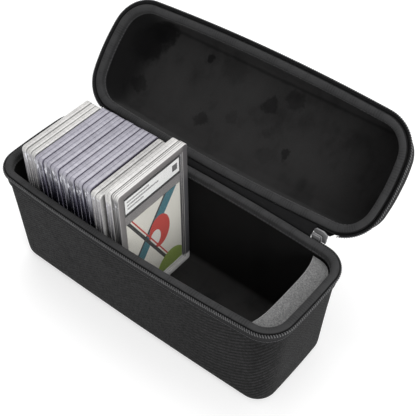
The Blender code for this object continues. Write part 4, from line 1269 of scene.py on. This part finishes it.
def plate_mesh(name, face_x, centre, size, thickness=PLATE):
    # a thin plate that faces +X, with a chart from 0 to 1 over its face
    bm = bmesh.new()
    layer = bm.loops.layers.uv.new("chart")
    corners = [(centre[0] + a * size[0] / 2, centre[1] + b * size[1] / 2)
               for a, b in ((-1, -1), (1, -1), (1, 1), (-1, 1))]
    back, front = ([bm.verts.new((x, *corner)) for corner in corners] for x in (face_x - thickness, face_x))
    bm.faces.new(front)
    bm.faces.new(back[::-1])
    for k in range(4):
        bm.faces.new((back[k], back[(k + 1) % 4], front[(k + 1) % 4], front[k]))
    for face in bm.faces:
        for loop in face.loops:
            loop[layer].uv = (0.5 + (loop.vert.co.y - centre[0]) / size[0],
                              0.5 + (loop.vert.co.z - centre[1]) / size[1])
    mesh = bpy.data.meshes.new(name)
    bm.to_mesh(mesh)
    bm.free()
    return mesh


def put_plate(name, face_x, centre, size, finish, body, slot, *nodes, thickness=PLATE):
    return dress(name, plate_mesh(name, face_x, centre, size, thickness), finish, body, slot, *nodes)


def in_window(name, low, high, body, print_finish):
    # the card and the label of a plain holder, each a thin plate just proud of the window's floor
    middle, face = (low.y + high.y) / 2, high.x - WINDOW_DEPTH + PLATE
    card_z = low.z + CARD_ABOVE_FOOT + CARD_SIZE[1] / 2
    label_top = high.z - LABEL_BELOW_TOP
    put_plate(name + "_card", face, (middle, card_z), CARD_SIZE, print_finish, body, "card")
    width = min(LABEL_SIZE[0], high.y - low.y - 2 * FRAME_BORDER - 1.0 * MM)
    height = min(LABEL_SIZE[1], label_top - card_z - CARD_SIZE[1] / 2 - LABEL_GAP)
    put_plate(name + "_label", face, (middle, label_top - height / 2), (width, height), LABEL_PRINT, body,
              "label")


SEALED_NUMBERS = range(4, 11)
SETTLE = 0.9 * MM
settle = random.Random(7)
HOLDER_SLOTS = {s["node"]: s["material_slot"] for s in frame["record"]["subparts"]}
for number in range(1, 14):
    node, piece = "card_holder_%02d" % number, "holder_%02d" % number
    drop, shift = settle.uniform(0, SETTLE), settle.uniform(-SETTLE, SETTLE) / 2
    low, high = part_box(node)
    low, high = low + Vector((0, shift, 0)), high + Vector((0, shift, -drop))
    finish = SEALED if number in SEALED_NUMBERS else CREAMY
    dress(piece, holder_mesh(piece, low, high), finish, piece, HOLDER_SLOTS[node], node)
    in_window(piece, low, high, piece, BACK_PRINTS[number % len(BACK_PRINTS)])


# %% [markdown]
# The front holder shows its face, so it is made in full: a frosted frame with a window, a clear
# pane over it, the card and the label behind, and the back half.


# %% Front holder
FRAME_GREY, FRAME_PALE, FRAME_FOOT = (0.25, 0.24, 0.238), (0.72, 0.71, 0.70), (0.93, 0.92, 0.91)
FRAME_DARK, FRAME_STREAK, FRAME_SHADE = (0.060, 0.060, 0.066), (0.10, 0.10, 0.105), (0.20, 0.185, 0.185)
HOLDER_MIDDLE_Y = 0.8 * MM
RIGHT_BORDER = (33.0 * MM, 35.5 * MM)
front_low, front_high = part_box("front_holder_front_half")
back_low, back_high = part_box("front_holder_back_half")
PALE_FOOT = (front_low.z + 10.0 * MM, front_low.z + 7.5 * MM)
SHADED_BELOW = (front_high.z - 40.0 * MM, front_high.z - 30.0 * MM, 0.35)


def frosted():
    finish = Finish("frosted_acrylic", FRAME_GREY, 0.3, specular=0.3, coat=0.3)
    edge = edge_paint(
        finish, ((0.0, FRAME_PALE), (0.12, PEARL), (0.42, IVORY), (0.5, WELD_AND_GAP_SHADE), (0.58, PEARL), (0.9, IVORY),
                 (1.0, WELD_AND_GAP_SHADE)),
        ((0.0, (0.36, 0.355, 0.355)), (0.3, (0.13, 0.128, 0.13)), (0.5, (0.30, 0.295, 0.30)),
         (0.7, (0.07, 0.068, 0.07)), (1.0, (0.22, 0.215, 0.22))),
        (0.035, 0.034, 0.036), 5.0 * MM, 60.0 * MM, 0.35, front_high.z - EDGE_ROUND)
    _, y, z = finish.space.split()
    grain = finish.noise(9 * MM, 4, 0.65, stretch=(1, 1, 0.5))
    face = finish.mix(grain, tuple(0.75 * c for c in FRAME_GREY), tuple(1.2 * c for c in FRAME_GREY))
    right = finish.mix(grain, FRAME_DARK, FRAME_STREAK)
    face = finish.mix((y - HOLDER_MIDDLE_Y).step(*RIGHT_BORDER), face, right)
    face = finish.mix(z.step(*PALE_FOOT), face, FRAME_FOOT)
    face = finish.mix(z.step(*SHADED_BELOW), face, FRAME_SHADE)
    finish.set("Base Color", finish.mix(finish.facing()[0].step(0.75, 0.9), edge, face))
    finish.bump(grain, 0.06 * MM, 0.4)
    return finish.material


def clear_pane():
    finish = Finish("clear_pane", (0.9, 0.9, 0.9), 0.08, alpha=0.04, specular=0.5)
    finish.set("Roughness", finish.noise(3 * MM, 3, 0.6).scaled(0.12, 0.03))
    return finish.material


FROSTED, PANE = frosted(), clear_pane()


def frame_mesh(name, low, high):
    # the front half: a frame with an opening right through, so the card shows behind the pane
    thickness, lip = high.x - low.x, FRAME_BORDER + 1.0 * MM
    profile = round_edge() + [(thickness, 0), (thickness, lip), (2 * WINDOW_DEPTH, lip),
                              (2 * WINDOW_DEPTH, FRAME_BORDER), (0.2 * MM, FRAME_BORDER),
                              (0, FRAME_BORDER - 0.3 * MM)]
    grid = profile_grid(profile, low, high)
    across = [depth / thickness if inset < FRAME_BORDER / 2 else 0 for depth, inset in profile]
    chart = chart_of(np.arange(grid.shape[1] + 1) * MM, np.append(across, 0))
    return tidy_mesh(grid_mesh(name, grid, chart, **LOOP), 35)


window_size = (front_high.y - front_low.y - 2 * FRAME_BORDER - GAP,
               front_high.z - front_low.z - 2 * FRAME_BORDER - GAP)
window_middle = face_middle(front_low, front_high)
dress("front_holder_frame", frame_mesh("front_holder_frame", front_low, front_high), FROSTED,
      "front_holder", "clear", "front_holder_front_half")
put_plate("front_holder_pane", front_high.x - WINDOW_DEPTH, window_middle, window_size, PANE,
          "front_holder", "clear", thickness=THICK_PLATE)
dress("front_holder_back", holder_mesh("front_holder_back", back_low, back_high), FROSTED,
      "front_holder", "clear", "front_holder_back_half")
put_plate("front_holder_mask", front_low.x + GAP, window_middle, window_size, FROSTED,
          "front_holder", "clear")
card_low, card_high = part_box("graded_card")
put_plate("card", card_high.x, face_middle(card_low, card_high), CARD_SIZE, FRONT_PRINT, "front_holder",
          "card", "graded_card", thickness=card_high.x - card_low.x - GAP)
put_plate("label", card_high.x + GAP, face_middle(*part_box("grade_label")), LABEL_SIZE, LABEL_PRINT,
          "front_holder", "label", "grade_label", thickness=THICK_PLATE)

# %% [markdown]
# ## Sliders
# Each slider is a zinc casting, tumbled until its edges are round and then plated. The solid has
# the right form but sharp edges, so the piece is that form with every sharp edge rolled over. A
# faceted crown is added where the plates meet, and a bridge, the loop that holds the pull.

# %% Sliders and pulls
TUMBLED = 0.32 * MM
BRIDGE_STEPS, BRIDGE_SIDES = 14, 8
BRIDGE_RADIUS = 0.5 * MM
BRIDGE_SPAN, BRIDGE_RISE, BRIDGE_DROP = 3.6 * MM, 2.0 * MM, 2.8 * MM
# the crown's outline from the plate's top middle, and its rings: how far out and how wide
CROWN = ((-4.3, -2.2), (3.5, -2.5), (3.7, -8.3), (7.0, -8.6), (8.2, 0.9), (4.4, 3.5), (-2.4, 3.3),
         (-4.4, 0.6))
CROWN_RINGS = ((-1.0, 0.96), (0.2, 1.0), (0.9, 0.72), (1.2, 0.30))


def roll_edges(mesh, segments, sharp=None, weld=False):
    bm = bmesh.new()
    bm.from_mesh(mesh)
    if weld:
        bmesh.ops.remove_doubles(bm, verts=bm.verts, dist=1e-6)
    edges = [edge for edge in bm.edges
             if sharp is None or edge.is_manifold and edge.calc_face_angle(0) > math.radians(sharp)]
    bmesh.ops.bevel(bm, geom=edges, offset=TUMBLED, segments=segments, profile=0.6, affect="EDGES",
                    clamp_overlap=True)
    bm.to_mesh(mesh)
    bm.free()


def tumbled(node):
    mesh = frame["nodes"][node].data.copy()
    mesh.name = node + "_cast"
    mesh.materials.clear()
    roll_edges(mesh, 3, sharp=40, weld=True)
    mesh.shade_smooth()
    mesh.set_sharp_from_angle(angle=math.radians(50))
    return mesh


def crown_mesh(name, low, high, way):
    # the wedge where the two plates meet, with one leg down beside the pull; way mirrors it
    middle = (low.x + high.x) / 2
    sides = np.array([(middle + way * x * MM, high.z + z * MM) for x, z in CROWN])
    centre = sides.mean(axis=0)
    rings = [(high.y + depth * MM, centre + (sides - centre) * share) for depth, share in CROWN_RINGS]
    grid = np.array([[(x, depth, z) for x, z in ring] for depth, ring in rings])
    mesh = grid_mesh(name, grid, blank_chart(grid))
    roll_edges(mesh, 2)
    return tidy_mesh(mesh, 35)


def bridge_mesh(name, low, high):
    # a half loop of wire over the pull's upper end, standing out from the plate
    middle, foot = (low.x + high.x) / 2, high.z - BRIDGE_DROP
    turn = np.linspace(0, math.pi, BRIDGE_STEPS)
    line = np.column_stack([middle - BRIDGE_SPAN * np.cos(turn), high.y + BRIDGE_RISE * np.sin(turn),
                            np.full(BRIDGE_STEPS, foot)])
    up = np.tile((0.0, 0.0, 1.0), (BRIDGE_STEPS, 1))
    side = np.cross(unit_rows(np.gradient(line, axis=0)), up)
    grid = tube_grid(line, up, side, BRIDGE_RADIUS, BRIDGE_SIDES)
    return tidy_mesh(grid_mesh(name, grid, blank_chart(grid)), 60)


for side, way in (("right", 1), ("left", -1)):
    slider, pull, crown, bridge = (kind + side for kind in ("slider_", "pull_", "slider_crown_",
                                                            "slider_bridge_"))
    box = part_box("zip_" + slider)
    dress(slider, tumbled("zip_" + slider), METAL, slider, "slider", "zip_" + slider)
    dress(crown, crown_mesh(crown, *box, way), METAL, slider, "slider")
    dress(bridge, bridge_mesh(bridge, *box), METAL, slider, "slider")
    dress(pull, tumbled("zip_" + pull), METAL, pull, "slider", "zip_" + pull)

# %% [markdown]
# ## Studio
# A large pale floor, a soft sky and two big area lamps. The floor is nearly white, and a little
# light that only the camera sees takes it to white without lighting the case any further.


# %% Floor, lamps and sky
FLOOR_RADIUS, FLOOR_SIDES = 6.0, 96
FLOOR_GLOW = 0.50
SKY_LIGHT = 0.66


def floor_finish():
    finish = Finish("floor_paint", (0.62, 0.62, 0.62), 0.9, specular=0.05)
    rays = [finish.add("ShaderNodeLightPath", output="Is %s Ray" % kind)
            for kind in ("Camera", "Glossy", "Transmission")]
    seen = finish.math("MAXIMUM", finish.math("MAXIMUM", rays[0], rays[1]), rays[2])
    finish.set("Emission Color", (1, 1, 1))
    finish.set("Emission Strength", seen * FLOOR_GLOW)
    return finish.material


floor_mesh = bpy.data.meshes.new("floor")
corner_angles = [2 * math.pi * k / FLOOR_SIDES for k in range(FLOOR_SIDES)]
circle = [(FLOOR_RADIUS * math.cos(angle), FLOOR_RADIUS * math.sin(angle), 0) for angle in corner_angles]
floor_mesh.from_pydata(circle, [], [list(range(FLOOR_SIDES))])
floor = bpy.data.objects.new("floor", floor_mesh)
bpy.context.scene.collection.objects.link(floor)
floor_mesh.materials.append(floor_finish())


def lamp(name, place, aim, size, power):
    data = bpy.data.lights.new(name, "AREA")
    data.shape, data.size, data.energy = "DISK", size, power
    piece = bpy.data.objects.new(name, data)
    piece.location = place
    piece.rotation_euler = (Vector(aim) - Vector(place)).to_track_quat("-Z", "Y").to_euler()
    bpy.context.scene.collection.objects.link(piece)


lamp("top_lamp", (-0.5, 0.75, 1.9), (0, 0, 0.05), 1.5, 17)
lamp("side_lamp", (1.7, -0.5, 0.9), (0, 0, 0.08), 1.1, 22)

# the sky is full white to the camera and gives SKY_LIGHT to everything else
world = bpy.data.worlds.new("sky")
bpy.context.scene.world = world
world.use_nodes = True
sky = world.node_tree.nodes["Background"]
path = world.node_tree.nodes.new("ShaderNodeLightPath")
strength = world.node_tree.nodes.new("ShaderNodeMath")
strength.operation = "MULTIPLY_ADD"
world.node_tree.links.new(path.outputs["Is Camera Ray"], strength.inputs[0])
strength.inputs[1].default_value = 1 - SKY_LIGHT
strength.inputs[2].default_value = SKY_LIGHT
world.node_tree.links.new(strength.outputs[0], sky.inputs["Strength"])
sky.inputs["Color"].default_value = (1, 1, 1, 1)

# %% [markdown]
# ## Camera
# The camera's place and lens come from a fit of the two rims and the front holder: from the
# right and above, about 40 degrees round from the front and 46 degrees above the table.

# %% Camera
CAMERA_PLACE = (340.5 * MM, -364.1 * MM, 616.1 * MM)
CAMERA_RIGHT = Vector((0.77812, 0.62812, -0.00220))
CAMERA_BACK = Vector((0.43916, -0.54152, 0.71687))
IMAGE_WIDTH = 416
FOCAL_PIXELS = 911.6
SENSOR = 36.0

camera_data = bpy.data.cameras.new("camera")
camera_data.sensor_width = SENSOR
camera_data.lens = SENSOR * FOCAL_PIXELS / IMAGE_WIDTH
camera_data.clip_start = 0.01
camera = bpy.data.objects.new("camera", camera_data)
bpy.context.scene.collection.objects.link(camera)
up = CAMERA_BACK.cross(CAMERA_RIGHT)
turn = Matrix((CAMERA_RIGHT, up, CAMERA_BACK)).transposed()
camera.matrix_world = Matrix.Translation(CAMERA_PLACE) @ turn.to_4x4()
bpy.context.scene.camera = camera
bpy.context.scene.view_settings.view_transform = "Standard"
print("lens %.1f mm" % camera_data.lens)
